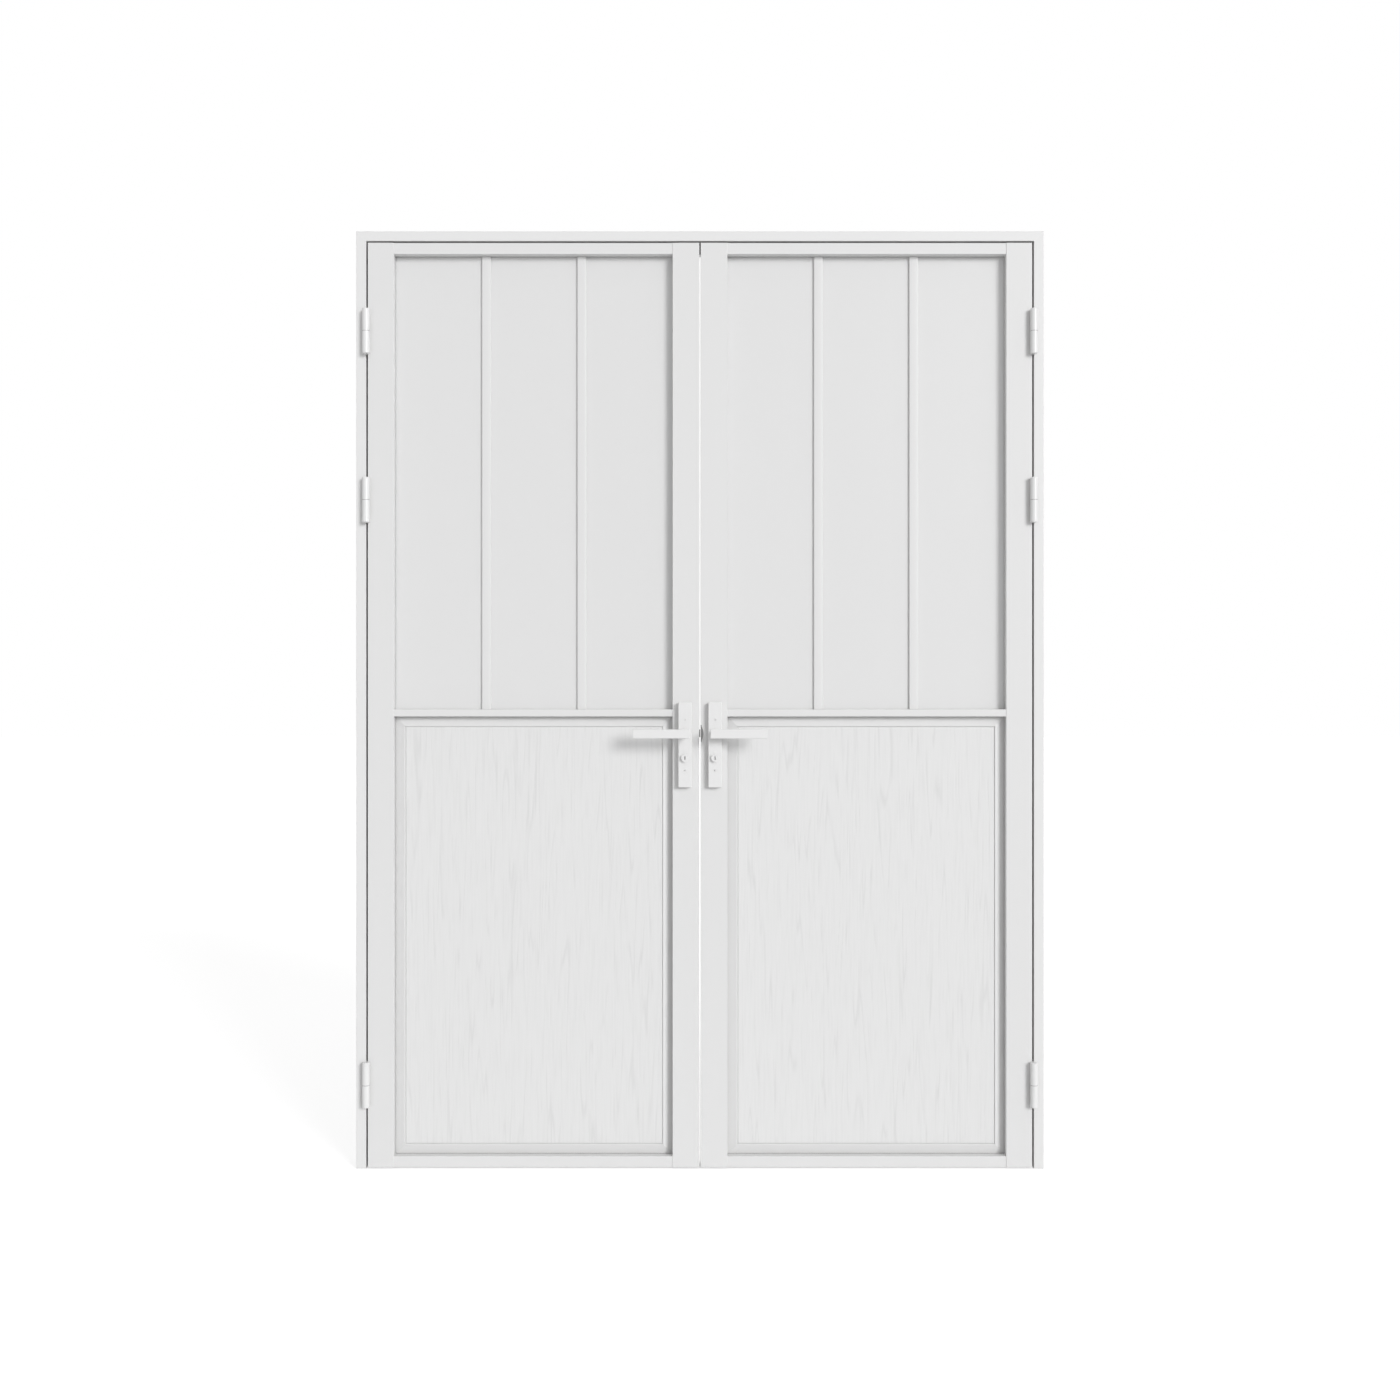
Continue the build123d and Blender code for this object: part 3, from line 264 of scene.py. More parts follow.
wear_highlight_mask = add_node(wear_highlight_group, "ShaderNodeClamp", links={"Value": math_node(
    wear_highlight_group, "MULTIPLY", math_node(wear_highlight_group, "MULTIPLY", wear_highlight_turn, 4.0), wear_highlight_in["Amount"])})
wear_highlight_group.links.new(wear_highlight_mask.outputs[0], wear_highlight_out.inputs["Mask"])

# %% Dust and painted shade that settle in corners
DUST_AND_SHADE_COLOUR = (0.42, 0.40, 0.37, 1)

dust_shade_group, dust_shade_in, dust_shade_out = new_group(
    "corner_dust_and_painted_shade", "ShaderNodeTree",
    [("Color", "NodeSocketColor", (0.8, 0.8, 0.8, 1)), ("Amount", "NodeSocketFloat", 0.1),
     ("Reach", "NodeSocketFloat", 0.02)],
    [("Color", "NodeSocketColor"), ("Mask", "NodeSocketFloat")])
# Where nearby surfaces close in, the colour darkens: painted shade in corners, broken by noise
# patches of dust.
dust_shade_open = add_node(dust_shade_group, "ShaderNodeAmbientOcclusion", samples=6,
                     links={"Distance": dust_shade_in["Reach"]})
dust_shade_shut = math_node(dust_shade_group, "SUBTRACT", 1.0, dust_shade_open.outputs["AO"])
dust_shade_patches = add_node(dust_shade_group, "ShaderNodeTexNoise", {"Scale": 40.0, "Detail": 4.0},
                        {"Vector": object_point(dust_shade_group)})
dust_shade_mask = math_node(dust_shade_group, "MULTIPLY", dust_shade_in["Amount"], math_node(
    dust_shade_group, "MULTIPLY", dust_shade_shut, math_node(dust_shade_group, "ADD", dust_shade_patches.outputs[0],
                                                 0.5)))
dust_shade_mixed = add_node(dust_shade_group, "ShaderNodeMix", data_type="RGBA",
                      links={"Factor": dust_shade_mask, 6: dust_shade_in["Color"]})
dust_shade_mixed.inputs[7].default_value = DUST_AND_SHADE_COLOUR
dust_shade_group.links.new(dust_shade_mixed.outputs[2], dust_shade_out.inputs["Color"])
dust_shade_group.links.new(dust_shade_mask, dust_shade_out.inputs["Mask"])

# %% Vertical grain of board and foil

grain_group, grain_in, grain_out = new_group(
    "upright_grain", "ShaderNodeTree",
    [("Streak Width", "NodeSocketFloat", 0.006), ("Streak Length", "NodeSocketFloat", 0.5),
     ("Depth", "NodeSocketFloat", 0.0003)],
    [("Mask", "NodeSocketFloat"), ("Normal", "NodeSocketVector")])


def stretched_noise(tree, width, length, detail):
    """Noise drawn out along the height: its features are width wide and length long."""
    across = math_node(tree, "DIVIDE", 1.0, width)
    along = math_node(tree, "DIVIDE", 1.0, length)
    scale = add_node(tree, "ShaderNodeCombineXYZ", links={"X": across, "Y": across, "Z": along})
    point = add_node(tree, "ShaderNodeVectorMath", operation="MULTIPLY",
                     links={0: object_point(tree), 1: scale.outputs[0]})
    streaks = add_node(tree, "ShaderNodeTexNoise", {"Scale": 1.0, "Detail": detail},
                       {"Vector": point.outputs[0]})
    return streaks.outputs[0]


grain_broad = stretched_noise(grain_group, grain_in["Streak Width"], grain_in["Streak Length"],
                              3.0)
grain_fine = stretched_noise(
    grain_group, math_node(grain_group, "MULTIPLY", grain_in["Streak Width"], 0.25),
    math_node(grain_group, "MULTIPLY", grain_in["Streak Length"], 0.2), 2.0)
grain_sum = math_node(grain_group, "ADD", math_node(grain_group, "MULTIPLY", grain_broad, 0.6),
                      math_node(grain_group, "MULTIPLY", grain_fine, 0.4))
grain_mask = add_node(grain_group, "ShaderNodeMapRange",
                      {"From Min": 0.36, "From Max": 0.64}, {"Value": grain_sum})
grain_bump = add_node(grain_group, "ShaderNodeBump", {"Strength": 0.7},
                      {"Height": grain_mask.outputs[0], "Distance": grain_in["Depth"]})
grain_group.links.new(grain_mask.outputs[0], grain_out.inputs["Mask"])
grain_group.links.new(grain_bump.outputs[0], grain_out.inputs["Normal"])
print("shared effects:", [g.name for g in bpy.data.node_groups])

# %% [markdown]
# ## Finishes
#
# Each finish is one Principled shader fed by the shared effects. Numbers that are the same all
# over a surface, such as metallic, stay on the shader's own sockets. Paint is nearly white and
# half matt; the hardware has the same paint a shade lighter.

# %% A helper for finishes


def place_group(tree, group, values=None, links=None):
    return add_node(tree, "ShaderNodeGroup", values, links, node_tree=group).outputs


def grey(value):
    """A neutral colour from a screen grey of 0 to 255."""
    level = value / 255
    linear = level / 12.92 if level <= 0.04045 else ((level + 0.055) / 1.055) ** 2.4
    return (linear, linear, linear, 1)


def new_finish(name, **constants):
    """A material with one Principled shader whose plain sockets hold the given constants."""
    made = bpy.data.materials.new(name)
    made.use_nodes = True
    shader = made.node_tree.nodes["Principled BSDF"]
    for key, value in constants.items():
        shader.inputs[key.replace("_", " ")].default_value = value
    return made, made.node_tree, shader


# %% Painted sections and hardware
# Lighter arrises: rub wear and a painted highlight.
WEAR_HIGHLIGHT_RADIUS = 0.0012
WEAR_HIGHLIGHT_AMOUNT = 0.35
WEAR_HIGHLIGHT_LIFT = 12
PALEST = 250


def painted(name, tone, roughness, drift=0.015, dust_and_shade=0.18, skin=0.00002):
    finish, tree, shader = new_finish(name)
    drifted = place_group(tree, drift_group,
                          {"Color": grey(tone), "Amount": drift, "Scale": 2.5})
    # Corners darken with dust and with painted shade.
    dusted_and_shaded = place_group(tree, dust_shade_group, {"Amount": dust_and_shade, "Reach": 0.012},
                         {"Color": drifted["Color"]})
    # The arrises turn lighter: rub wear and a painted highlight.
    edges = place_group(tree, wear_highlight_group, {"Radius": WEAR_HIGHLIGHT_RADIUS, "Amount": WEAR_HIGHLIGHT_AMOUNT})
    worn_and_highlighted = add_node(tree, "ShaderNodeMix", data_type="RGBA",
                      links={"Factor": edges["Mask"], 6: dusted_and_shaded["Color"]})
    worn_and_highlighted.inputs[7].default_value = grey(min(tone + WEAR_HIGHLIGHT_LIFT, PALEST))
    skinned = place_group(tree, peel_group,
                          {"Scale": 700.0, "Depth": skin, "Roughness": roughness})
    tree.links.new(worn_and_highlighted.outputs[2], shader.inputs["Base Color"])
    tree.links.new(skinned["Roughness"], shader.inputs["Roughness"])
    tree.links.new(skinned["Normal"], shader.inputs["Normal"])
    return finish


frame_finish = painted("frame_powder_coat", 224, 0.42)
leaf_finish = painted("leaf_powder_coat", 220, 0.42)
hardware_finish = painted("hardware_enamel", 226, 0.3, skin=0.000008)

# %% Grained board of the lower panels

board_finish, board_tree, board_shader = new_finish("grained_board")
board_grain = place_group(board_tree, grain_group,
                          {"Streak Width": 0.005, "Streak Length": 0.45, "Depth": 0.00025})
board_mix = add_node(board_tree, "ShaderNodeMix", data_type="RGBA",
                     links={"Factor": board_grain["Mask"]})
board_mix.inputs[6].default_value = grey(216)
board_mix.inputs[7].default_value = grey(224)
# Corners of the board darken with dust and painted shade.
board_dusted_and_shaded = place_group(board_tree, dust_shade_group, {"Amount": 0.12, "Reach": 0.02},
                           {"Color": board_mix.outputs[2]})
board_tree.links.new(board_dusted_and_shaded["Color"], board_shader.inputs["Base Color"])
board_tree.links.new(board_grain["Normal"], board_shader.inputs["Normal"])
board_rough = add_node(board_tree, "ShaderNodeMapRange", {"To Min": 0.55, "To Max": 0.42},
                       {"Value": board_grain["Mask"]})
board_tree.links.new(board_rough.outputs[0], board_shader.inputs["Roughness"])

# %% Glass

glass_finish, glass_tree, glass_shader = new_finish(
    "satin_glass", Metallic=0.0, Transmission_Weight=0.2, IOR=1.5)
glass_tint = place_group(glass_tree, drift_group,
                         {"Color": grey(238), "Amount": 0.012, "Scale": 1.2})
glass_tree.links.new(glass_tint["Color"], glass_shader.inputs["Base Color"])
glass_skin = place_group(glass_tree, peel_group,
                         {"Scale": 6.0, "Depth": 0.00002, "Roughness": 0.05})
glass_tree.links.new(glass_skin["Normal"], glass_shader.inputs["Normal"])
glass_haze = add_node(glass_tree, "ShaderNodeMapRange", {"To Min": 0.36, "To Max": 0.48},
                      {"Value": glass_skin["Roughness"]})
glass_tree.links.new(glass_haze.outputs[0], glass_shader.inputs["Roughness"])

# %% Metals
BRUSH_SPREAD = 0.06


def bare_metal(name, tone, roughness, brush_width, brush_length):
    """Drawn or brushed metal: fine lines along the height, a slow drift in tone."""
    finish, tree, shader = new_finish(name, Metallic=1.0)
    lines = place_group(tree, grain_group, {"Streak Width": brush_width,
                                            "Streak Length": brush_length, "Depth": 0.00001})
    drifted = place_group(tree, drift_group,
                          {"Color": grey(tone), "Amount": 0.08, "Scale": 20.0})
    # Corners darken with dust and painted shade.
    dusted_and_shaded = place_group(tree, dust_shade_group, {"Amount": 0.25, "Reach": 0.006},
                         {"Color": drifted["Color"]})
    tree.links.new(dusted_and_shaded["Color"], shader.inputs["Base Color"])
    tree.links.new(lines["Normal"], shader.inputs["Normal"])
    rough = add_node(tree, "ShaderNodeMapRange",
                     {"To Min": roughness - BRUSH_SPREAD, "To Max": roughness + BRUSH_SPREAD},
                     {"Value": lines["Mask"]})
    tree.links.new(rough.outputs[0], shader.inputs["Roughness"])
    return finish


steel_finish = bare_metal("dark_steel", 125, 0.32, 0.0004, 0.01)
aluminium_finish = bare_metal("drawn_aluminium", 205, 0.38, 0.0006, 0.05)

# %% Rubber and plastic


def moulded(name, tone, roughness):
    finish, tree, shader = new_finish(name)
    drifted = place_group(tree, drift_group,
                          {"Color": grey(tone), "Amount": 0.15, "Scale": 30.0})
    # Corners darken with dust and painted shade.
    dusted_and_shaded = place_group(tree, dust_shade_group, {"Amount": 0.2, "Reach": 0.008},
                         {"Color": drifted["Color"]})
    skinned = place_group(tree, peel_group,
                          {"Scale": 1500.0, "Depth": 0.00003, "Roughness": roughness})
    tree.links.new(dusted_and_shaded["Color"], shader.inputs["Base Color"])
    tree.links.new(skinned["Roughness"], shader.inputs["Roughness"])
    tree.links.new(skinned["Normal"], shader.inputs["Normal"])
    return finish


rubber_finish = moulded("seal_rubber_grey", 62, 0.75)
plastic_finish = moulded("cap_plastic_grey", 190, 0.5)

# %% Give every solid piece its finish
finish_of_slot = {"frame_paint": frame_finish, "leaf_paint": leaf_finish,
                  "hardware_paint": hardware_finish, "panel_board": board_finish,
                  "glass": glass_finish, "aluminium": aluminium_finish,
                  "seal_rubber": rubber_finish, "cap_plastic": plastic_finish,
                  "steel": steel_finish}
for solid in door_nodes.values():
    for material_slot in solid.material_slots:
        material_slot.material = finish_of_slot[material_slot.material.name]
print("finishes on", len(door_nodes), "solid pieces")

# %% [markdown]
# ## Screws
#
# Hinges, faceplate, strike plate and keep are held by countersunk screws, and each pair of
# handle plates by two long ones. They could be copied one by one, but a tree of Geometry Nodes
# makes one screw with a cross recess from named sizes and sets it on every point of a small
# carrier mesh. Each point says which way its screw goes in, and a seeded spin turns the
# recesses, as a fitter leaves them.

# %% Turn a tree's result into a plain mesh


def plain_piece(name, tree, carrier_mesh, values, body):
    """Run a Geometry Nodes tree on a carrier mesh and keep the result as a plain piece."""
    carrier = bpy.data.objects.new(name + "_carrier", carrier_mesh)
    bpy.context.scene.collection.objects.link(carrier)
    modifier = carrier.modifiers.new("shape", "NODES")
    modifier.node_group = tree
    for item in tree.interface.items_tree:
        if item.in_out == "INPUT" and item.name in values:
            modifier[item.identifier] = values[item.name]
    evaluated = carrier.evaluated_get(bpy.context.evaluated_depsgraph_get())
    mesh = bpy.data.meshes.new_from_object(evaluated)
    mesh.name = name
    bpy.data.objects.remove(carrier)
    return finished_piece(name, mesh, body)


def finished_piece(name, mesh, body, crease=35):
    """Put a mesh in the scene as a piece that rides on a body, with crisp edges kept."""
    mesh.shade_smooth()
    mesh.set_sharp_from_angle(angle=math.radians(crease))
    piece = bpy.data.objects.new(name, mesh)
    bpy.context.scene.collection.objects.link(piece)
    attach(piece, body)
    mesh.calc_loop_triangles()
    print(name, "rides on", body, "with", len(mesh.loop_triangles), "triangles")
    return piece


# %% Build the screw tree
TAU = 2 * math.pi


def screw_tree():
    tree, sizes, out = new_group(
        "cross_head_screws", "GeometryNodeTree",
        [("Points", "NodeSocketGeometry", None), ("Head Radius", "NodeSocketFloat", 0.0039),
         ("Seat Radius", "NodeSocketFloat", 0.002), ("Head Depth", "NodeSocketFloat", 0.0016),
         ("Shank Radius", "NodeSocketFloat", 0.002), ("Length", "NodeSocketFloat", 0.012),
         ("Recess Arm", "NodeSocketFloat", 0.0042), ("Recess Width", "NodeSocketFloat", 0.0009),
         ("Recess Depth", "NodeSocketFloat", 0.0011), ("Seed", "NodeSocketInt", 1),
         ("Metal", "NodeSocketMaterial", None)],
        [("Screws", "NodeSocketGeometry")])
    head = add_node(tree, "GeometryNodeMeshCone", {"Vertices": 32},
                    {"Radius Bottom": sizes["Head Radius"], "Radius Top": sizes["Seat Radius"],
                     "Depth": sizes["Head Depth"]})
    shank = add_node(tree, "GeometryNodeMeshCylinder", {"Vertices": 20},
                     {"Radius": sizes["Shank Radius"],
                      "Depth": math_node(tree, "SUBTRACT", sizes["Length"], 0.0002)})
    half_length = add_node(tree, "ShaderNodeCombineXYZ", links={
        "Z": math_node(tree, "ADD", 0.0001, math_node(tree, "DIVIDE", sizes["Length"], 2.0))})
    placed_shank = add_node(tree, "GeometryNodeTransform",
                            links={"Geometry": shank.outputs["Mesh"],
                                   "Translation": half_length.outputs[0]})
    body = add_node(tree, "GeometryNodeMeshBoolean", operation="UNION")
    tree.links.new(placed_shank.outputs[0], body.inputs["Mesh 2"])
    tree.links.new(head.outputs["Mesh"], body.inputs["Mesh 2"])
    recess_height = math_node(tree, "MULTIPLY", sizes["Recess Depth"], 2.0)
    arms = []
    for along, across in (("X", "Y"), ("Y", "X")):
        size = add_node(tree, "ShaderNodeCombineXYZ",
                        links={along: sizes["Recess Arm"], across: sizes["Recess Width"],
                               "Z": recess_height})
        arms.append(add_node(tree, "GeometryNodeMeshCube", links={"Size": size.outputs[0]}))
    cut = add_node(tree, "GeometryNodeMeshBoolean", operation="DIFFERENCE")
    tree.links.new(body.outputs["Mesh"], cut.inputs["Mesh 1"])
    for arm in arms:
        tree.links.new(arm.outputs["Mesh"], cut.inputs["Mesh 2"])
    way_in = add_node(tree, "GeometryNodeInputNamedAttribute", {"Name": "way_in"},
                      data_type="FLOAT_VECTOR")
    aimed = add_node(tree, "FunctionNodeAlignRotationToVector",
                     links={"Vector": way_in.outputs["Attribute"]}, axis="Z")
    turn = add_node(tree, "FunctionNodeRandomValue", links={"Seed": sizes["Seed"]},
                    data_type="FLOAT")
    turn.inputs[3].default_value = TAU
    spin = add_node(tree, "FunctionNodeAxisAngleToRotation", {"Axis": (0, 0, 1)},
                    {"Angle": turn.outputs[1]})
    spun = add_node(tree, "FunctionNodeRotateRotation", rotation_space="LOCAL",
                    links={"Rotation": aimed.outputs[0], "Rotate By": spin.outputs[0]})
    placed = add_node(tree, "GeometryNodeInstanceOnPoints",
                      links={"Points": sizes["Points"], "Instance": cut.outputs["Mesh"],
                             "Rotation": spun.outputs[0]})
    real = add_node(tree, "GeometryNodeRealizeInstances",
                    links={"Geometry": placed.outputs[0]})
    made = add_node(tree, "GeometryNodeSetMaterial",
                    links={"Geometry": real.outputs[0], "Material": sizes["Metal"]})
    tree.links.new(made.outputs[0], out.inputs["Screws"])
    return tree


screws_tree = screw_tree()


def screw_points(name, places):
    """Carrier mesh: one loose vertex for each (place, way in), in metres."""
    mesh = bpy.data.meshes.new(name)
    mesh.from_pydata([place for place, _ in places], [], [])
    ways = mesh.attributes.new("way_in", "FLOAT_VECTOR", "POINT")
    ways.data.foreach_set("vector", [v for _, way in places for v in way])
    return mesh


# %% Set the screws
HINGE_LEVELS = (0.190, 1.497, 1.874)
HINGE_SCREW_STEP = 0.038
HINGE_SCREW_Y = -0.010
FRAME_SCREW_X = 0.7462
LEAF_SCREW_X = 0.7458
EDGE_X = 0.0015
EDGE_PLATE_SCREWS = (0.887, 1.011)
KEEP_SCREWS = (-0.0015, 0.0425)
HEAD_LEVEL = 2.078
HANDLE_X = 0.0335
PLATE_SCREWS = (0.893, 1.006)
plate_low, plate_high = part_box("front_plate_left")
PLATE_SCREW_SUNK = 0.00005
BACK_PLATE_SKIN = 0.0026
PLATE_SCREW_Y = plate_low.y + PLATE_SCREW_SUNK
PLATE_SCREW_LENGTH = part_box("back_plate_left")[1].y - PLATE_SCREW_Y - BACK_PLATE_SKIN


def hinge_screw_places(x, way):
    return [((x, HINGE_SCREW_Y, level + step * HINGE_SCREW_STEP), (way, 0, 0))
            for level in HINGE_LEVELS for step in (-1, 0, 1)]


frame_screw_places = []
for side in SIDES.values():
    frame_screw_places += hinge_screw_places(side * FRAME_SCREW_X, side)
frame_screw_places += [((x, 0, HEAD_LEVEL), (0, 0, 1)) for x in KEEP_SCREWS]
frame_screw_set = plain_piece("frame_screw_set", screws_tree,
                              screw_points("frame_screw_points", frame_screw_places),
                              {"Seed": 3, "Metal": steel_finish}, "frame")
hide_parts("frame_screws")
for name, side in SIDES.items():
    places = hinge_screw_places(side * LEAF_SCREW_X, -side)
    places += [((side * EDGE_X, 0, level), (side, 0, 0)) for level in EDGE_PLATE_SCREWS]
    edge_screws = plain_piece(f"edge_screws_{name}", screws_tree,
                              screw_points(f"edge_screw_points_{name}", places),
                              {"Seed": 5, "Metal": steel_finish}, f"leaf_{name}")
    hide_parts(f"leaf_screws_{name}")
    places = [((side * HANDLE_X, PLATE_SCREW_Y, level), (0, 1, 0)) for level in PLATE_SCREWS]
    plain_piece(f"plate_screws_{name}", screws_tree,
                screw_points(f"plate_screw_points_{name}", places),
                {"Seed": 9, "Head Radius": 0.004, "Seat Radius": 0.00399, "Head Depth": 0.0024,
                 "Shank Radius": 0.0025, "Length": PLATE_SCREW_LENGTH, "Recess Arm": 0.0048,
                 "Recess Width": 0.001, "Recess Depth": 0.0016, "Metal": hardware_finish},
                f"leaf_{name}")

# %% [markdown]
# ## Glazing bars
#
# Two slim bars stand on the glass of each leaf, in front and behind. A bar is a flat section
# with rounded arrises that runs from rail to rail, so its shape follows a rule: a filleted
# rectangle drawn along a line, and the same again one pitch further. Geometry Nodes draw it
# from the section's width, thickness and rounding, and from the number of bars.

# %% Build the bar tree


def bar_tree():
    tree, sizes, out = new_group(
        "rounded_bars", "GeometryNodeTree",
        [("Carrier", "NodeSocketGeometry", None), ("Count", "NodeSocketInt", 2),
         ("Pitch", "NodeSocketFloat", 0.2), ("Width", "NodeSocketFloat", 0.02),
         ("Thickness", "NodeSocketFloat", 0.006), ("Rounding", "NodeSocketFloat", 0.0016),
         ("Height", "NodeSocketFloat", 1.0), ("Low Middle", "NodeSocketVector", (0, 0, 0)),
         ("Paint", "NodeSocketMaterial", None)],
        [("Bars", "NodeSocketGeometry")])
    section = add_node(tree, "GeometryNodeCurvePrimitiveQuadrilateral",
                       links={"Width": sizes["Width"], "Height": sizes["Thickness"]})
    rounded = add_node(tree, "GeometryNodeFilletCurve", {"Count": 5},
                       {"Curve": section.outputs[0], "Radius": sizes["Rounding"]}, mode="POLY")
    top = add_node(tree, "ShaderNodeCombineXYZ", links={"Z": sizes["Height"]})
    line = add_node(tree, "GeometryNodeCurvePrimitiveLine", links={"End": top.outputs[0]})
    bar = add_node(tree, "GeometryNodeCurveToMesh", {"Fill Caps": True},
                   {"Curve": line.outputs[0], "Profile Curve": rounded.outputs[0]})
    step = add_node(tree, "ShaderNodeCombineXYZ", links={"X": sizes["Pitch"]})
    row = add_node(tree, "GeometryNodeMeshLine", mode="OFFSET",
                   links={"Count": sizes["Count"], "Offset": step.outputs[0],
                          "Start Location": sizes["Low Middle"]})
    placed = add_node(tree, "GeometryNodeInstanceOnPoints",
                      links={"Points": row.outputs[0], "Instance": bar.outputs[0]})
    real = add_node(tree, "GeometryNodeRealizeInstances",
                    links={"Geometry": placed.outputs[0]})
    made = add_node(tree, "GeometryNodeSetMaterial",
                    links={"Geometry": real.outputs[0], "Material": sizes["Paint"]})
    tree.links.new(made.outputs[0], out.inputs["Bars"])
    return tree


bars_tree = bar_tree()

# %% Make the bars
BAR_WIDTH = 0.020
BAR_THICKNESS = 0.006

for name, side in SIDES.items():
    low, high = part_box(f"glazing_bars_{name}")
    pitch = (high.x - low.x) - BAR_WIDTH
    for face, middle_y in (("front", low.y + BAR_THICKNESS / 2),
                           ("back", high.y - BAR_THICKNESS / 2)):
        bars = plain_piece(f"{face}_glazing_bars_{name}", bars_tree,
                           bpy.data.meshes.new("bar_carrier"),
                           {"Pitch": pitch, "Width": BAR_WIDTH, "Thickness": BAR_THICKNESS,
                            "Height": high.z - low.z,
                            "Low Middle": (low.x + BAR_WIDTH / 2, middle_y, low.z),
                            "Paint": leaf_finish}, f"leaf_{name}")
        if face == "front":
            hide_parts(f"glazing_bars_{name}")

# %% [markdown]
# ## Embossed skins of the lower panels
#
# Each lower board is wrapped in a foil that is embossed with an upright grain. A bump alone
# would vanish in the exported mesh, so the emboss is real relief: a fine grid over the field
# whose points sink along thin, broken, slightly wandering lines. The lines are the places
# where a stretched noise changes sign, which gives closed loops and long streaks as in wood.
# The foil dips into the groove beside the beads. How deep each point lies is kept as an
# attribute too, so that the finish can darken the pores.

# %% Depth of the grain at a point
PORE_SPREAD = 0.011
PORE_LENGTH = 0.26
PORE_SHARPNESS = 9.0
PORE_WANDER = 1.5
WANDER_SPREAD = 0.07
WANDER_LENGTH = 0.8
BREAK_SPREAD = 0.018
BREAK_LENGTH = 0.11
BREAK_MIDDLE = 0.45
BREAK_CONTRAST = 2.2
FINE_SPREAD = 0.0042
FINE_LENGTH = 0.07
FINE_SHARE = 0.55
DEEPEST = 1.2
LAYER_OF_PORES = 7.3
LAYER_OF_BREAKS = 55.1
LAYER_OF_FINE = 31.7


def upright_noise(x, z, spread, length, layer, shift=0.0):
    """Noise whose features are spread wide and length high. Layers don't resemble each other."""
    return noise.noise(Vector((x / spread + shift, layer, z / length)))


def grain_depth(x, z, seed):
    """From 0 on the flat of the foil to about 1 at the bottom of a pore."""
    wander = upright_noise(x, z, WANDER_SPREAD, WANDER_LENGTH, seed)
    line = upright_noise(x, z, PORE_SPREAD, PORE_LENGTH, seed + LAYER_OF_PORES,
                         PORE_WANDER * wander)
    broken = upright_noise(x, z, BREAK_SPREAD, BREAK_LENGTH, seed + LAYER_OF_BREAKS)
    fine = upright_noise(x, z, FINE_SPREAD, FINE_LENGTH, seed + LAYER_OF_FINE, wander)
    whole = min(1.0, max(0.0, BREAK_MIDDLE + BREAK_CONTRAST * broken))
    pore = max(0.0, 1.0 - PORE_SHARPNESS * abs(line)) * whole
    return min(DEEPEST, pore + FINE_SHARE * max(0.0, fine))


# %% A skin over one face of a board
FOIL_STAND = 0.0003
GRAIN_RELIEF = 0.00024
GRID_STEP = 0.0016
GRID_ROW = 0.0075


def grid_lines(low, high, step, rim):
    """Places of grid lines from low to high, closer together over the rim at each end."""
    near = [share * rim for share in (0.0, 0.2, 0.4, 0.6, 0.8, 1.0)]
    count = round((high - low - 2 * rim) / step)
    middle = [low + rim + (high - low - 2 * rim) * i / count for i in range(1, count)]
    return [low + d for d in near] + middle + [high - d for d in reversed(near)]


def skin_mesh(name, x_range, z_range, face_y, facing, rim, dip, sink, seed):
    """A closed slab with an embossed face. Facing is -1 for the front and 1 for the back."""
    xs = grid_lines(*x_range, GRID_STEP, rim)
    zs = grid_lines(*z_range, GRID_ROW, rim)
    points, pores = [], []
    for z in zs:
        for x in xs:
            edge = min(x - xs[0], xs[-1] - x, z - zs[0], zs[-1] - z)
            share = min(1.0, edge / rim)
            shoulder = share * share * (3 - 2 * share)
            depth = grain_depth(x, z, seed) * shoulder
            points.append((x, face_y + facing * (FOIL_STAND - dip * (1 - shoulder)
                                                 - GRAIN_RELIEF * depth), z))
            pores.append(depth)
    columns, rows = len(xs), len(zs)
    faces = [(r * columns + c, r * columns + c + 1, (r + 1) * columns + c + 1,
              (r + 1) * columns + c) for r in range(rows - 1) for c in range(columns - 1)]
    ring = list(range(columns)) + [r * columns + columns - 1 for r in range(1, rows)]
    ring += [(rows - 1) * columns + c for c in range(columns - 2, -1, -1)]
    ring += [r * columns for r in range(rows - 2, 0, -1)]
    base = len(points)
    points += [(points[i][0], face_y - facing * sink, points[i][2]) for i in ring]
    pores += [0.0] * len(ring)
    for here in range(len(ring)):
        after = (here + 1) % len(ring)
        faces.append((ring[here], ring[after], base + after, base + here))
    faces.append(tuple(base + i for i in range(len(ring))))
    mesh = bpy.data.meshes.new(name)
    mesh.from_pydata(points, [], faces)
    mesh.attributes.new("pore", "FLOAT", "POINT").data.foreach_set("value", pores)
    shell = bmesh.new()
    shell.from_mesh(mesh)
    bmesh.ops.recalc_face_normals(shell, faces=shell.faces)
    shell.to_mesh(mesh)
    shell.free()
    return mesh


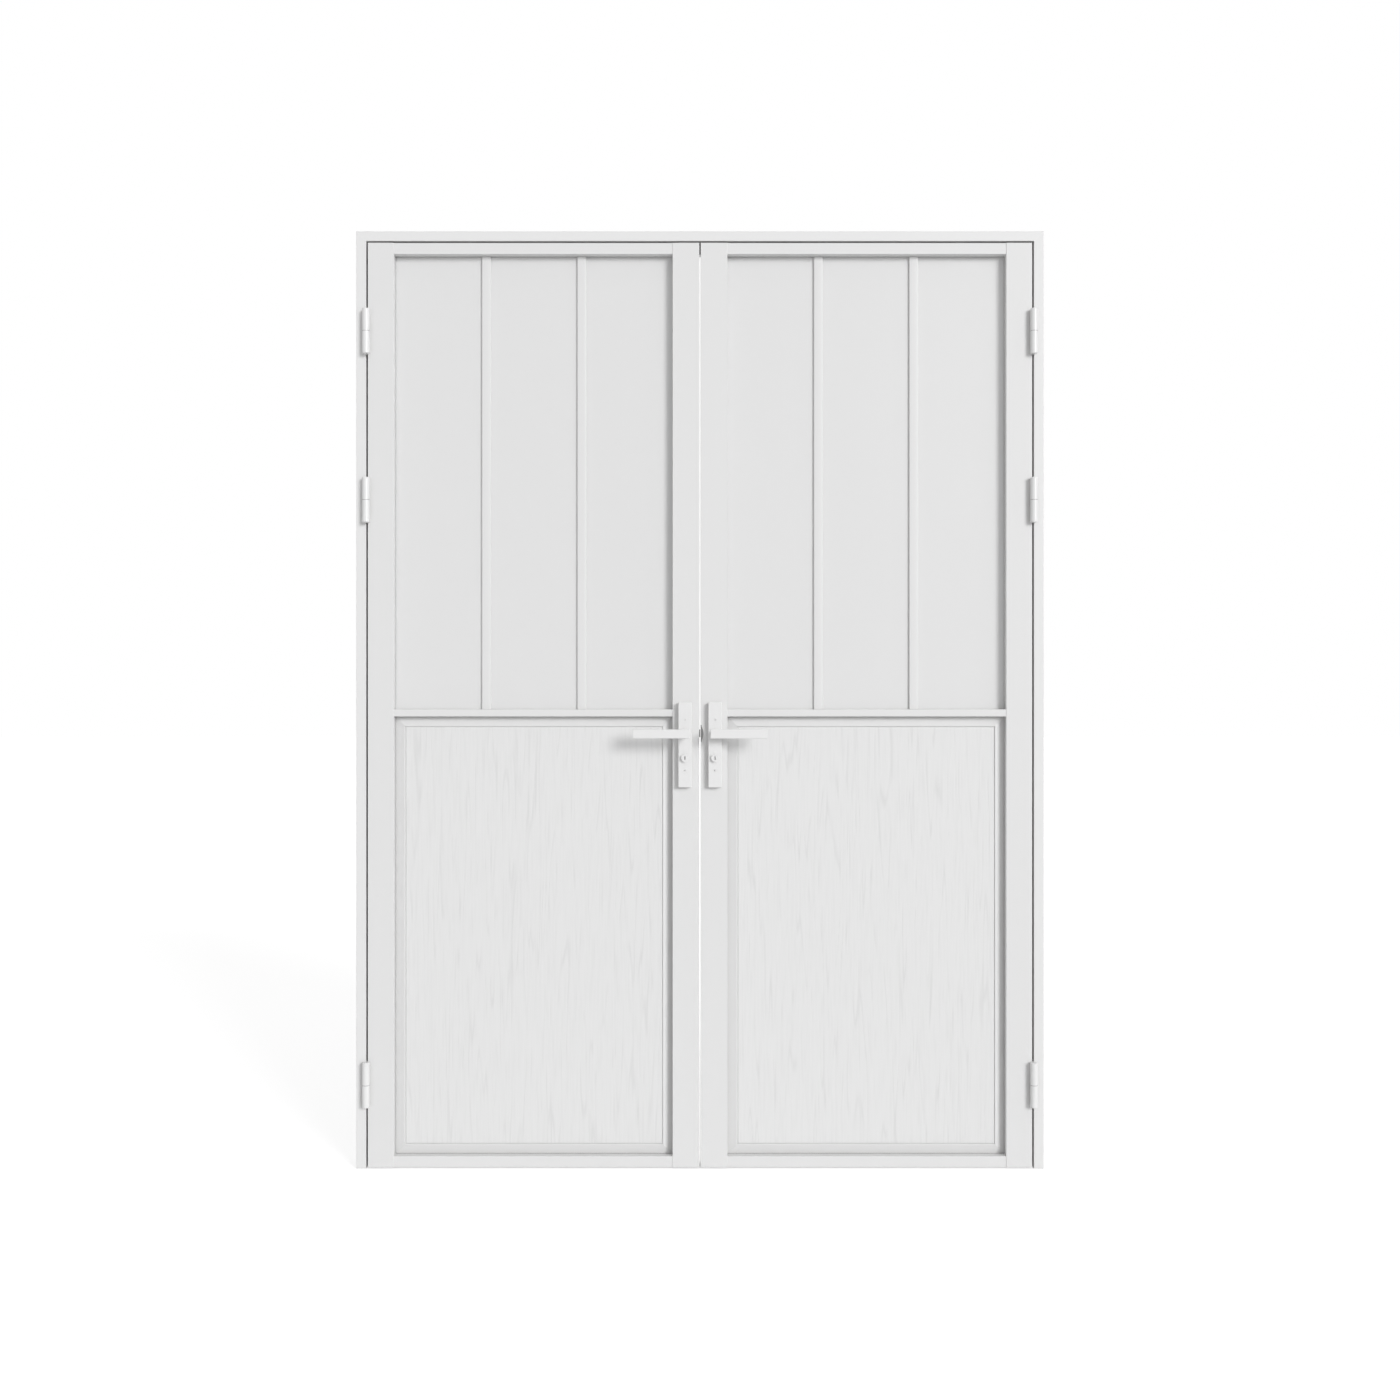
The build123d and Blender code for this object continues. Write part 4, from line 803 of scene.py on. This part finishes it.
# %% Finish of the embossed foil
foil_finish, foil_tree, foil_shader = new_finish("embossed_foil")
foil_pore = add_node(foil_tree, "ShaderNodeAttribute", attribute_name="pore")
foil_grain = place_group(foil_tree, grain_group,
                         {"Streak Width": 0.004, "Streak Length": 0.12, "Depth": 0.00006})
foil_depth = add_node(foil_tree, "ShaderNodeClamp", links={"Value": math_node(
    foil_tree, "ADD", math_node(foil_tree, "MULTIPLY", foil_pore.outputs["Fac"], 0.75),
    math_node(foil_tree, "MULTIPLY", foil_grain["Mask"], 0.25))})
foil_mix = add_node(foil_tree, "ShaderNodeMix", data_type="RGBA",
                    links={"Factor": foil_depth.outputs[0]})
foil_mix.inputs[6].default_value = grey(223)
foil_mix.inputs[7].default_value = grey(213)
# Corners of the foil darken with dust and painted shade.
foil_dusted_and_shaded = place_group(foil_tree, dust_shade_group, {"Amount": 0.1, "Reach": 0.008},
                          {"Color": foil_mix.outputs[2]})
foil_rough = add_node(foil_tree, "ShaderNodeMapRange", {"To Min": 0.42, "To Max": 0.6},
                      {"Value": foil_depth.outputs[0]})
foil_tree.links.new(foil_dusted_and_shaded["Color"], foil_shader.inputs["Base Color"])
foil_tree.links.new(foil_rough.outputs[0], foil_shader.inputs["Roughness"])
foil_tree.links.new(foil_grain["Normal"], foil_shader.inputs["Normal"])
print("foil with", len(foil_tree.nodes), "nodes")

# %% Lay the skins on both faces of both boards
BEAD_WIDTH = 0.0228
BEAD_CLEARANCE = 0.0003
SKIN_CLEARANCE = 0.00015
GROOVE_RIM = 0.0024
GROOVE_DIP = 0.0011
GROOVE_SINK = 0.0014
BACK_DIP = 0.0002
SIDE_SEED = 11.0
FACE_SEED = 3.0

for name, side in SIDES.items():
    board_low, board_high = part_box(f"panel_{name}")
    bead_low, bead_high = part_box(f"panel_beads_{name}")
    for face, facing, face_y, inset, dip, sink in (
            ("front", -1, board_low.y, BEAD_WIDTH - BEAD_CLEARANCE + SKIN_CLEARANCE,
             GROOVE_DIP, GROOVE_SINK),
            ("back", 1, board_high.y, 0.0, BACK_DIP, BACK_DIP)):
        mesh = skin_mesh(f"{face}_panel_skin_{name}",
                         (bead_low.x + inset, bead_high.x - inset),
                         (bead_low.z + inset, bead_high.z - inset),
                         face_y, facing, GROOVE_RIM, dip, sink,
                         SIDE_SEED * side + FACE_SEED * facing)
        mesh.materials.append(foil_finish)
        finished_piece(f"{face}_panel_skin_{name}", mesh, f"leaf_{name}")
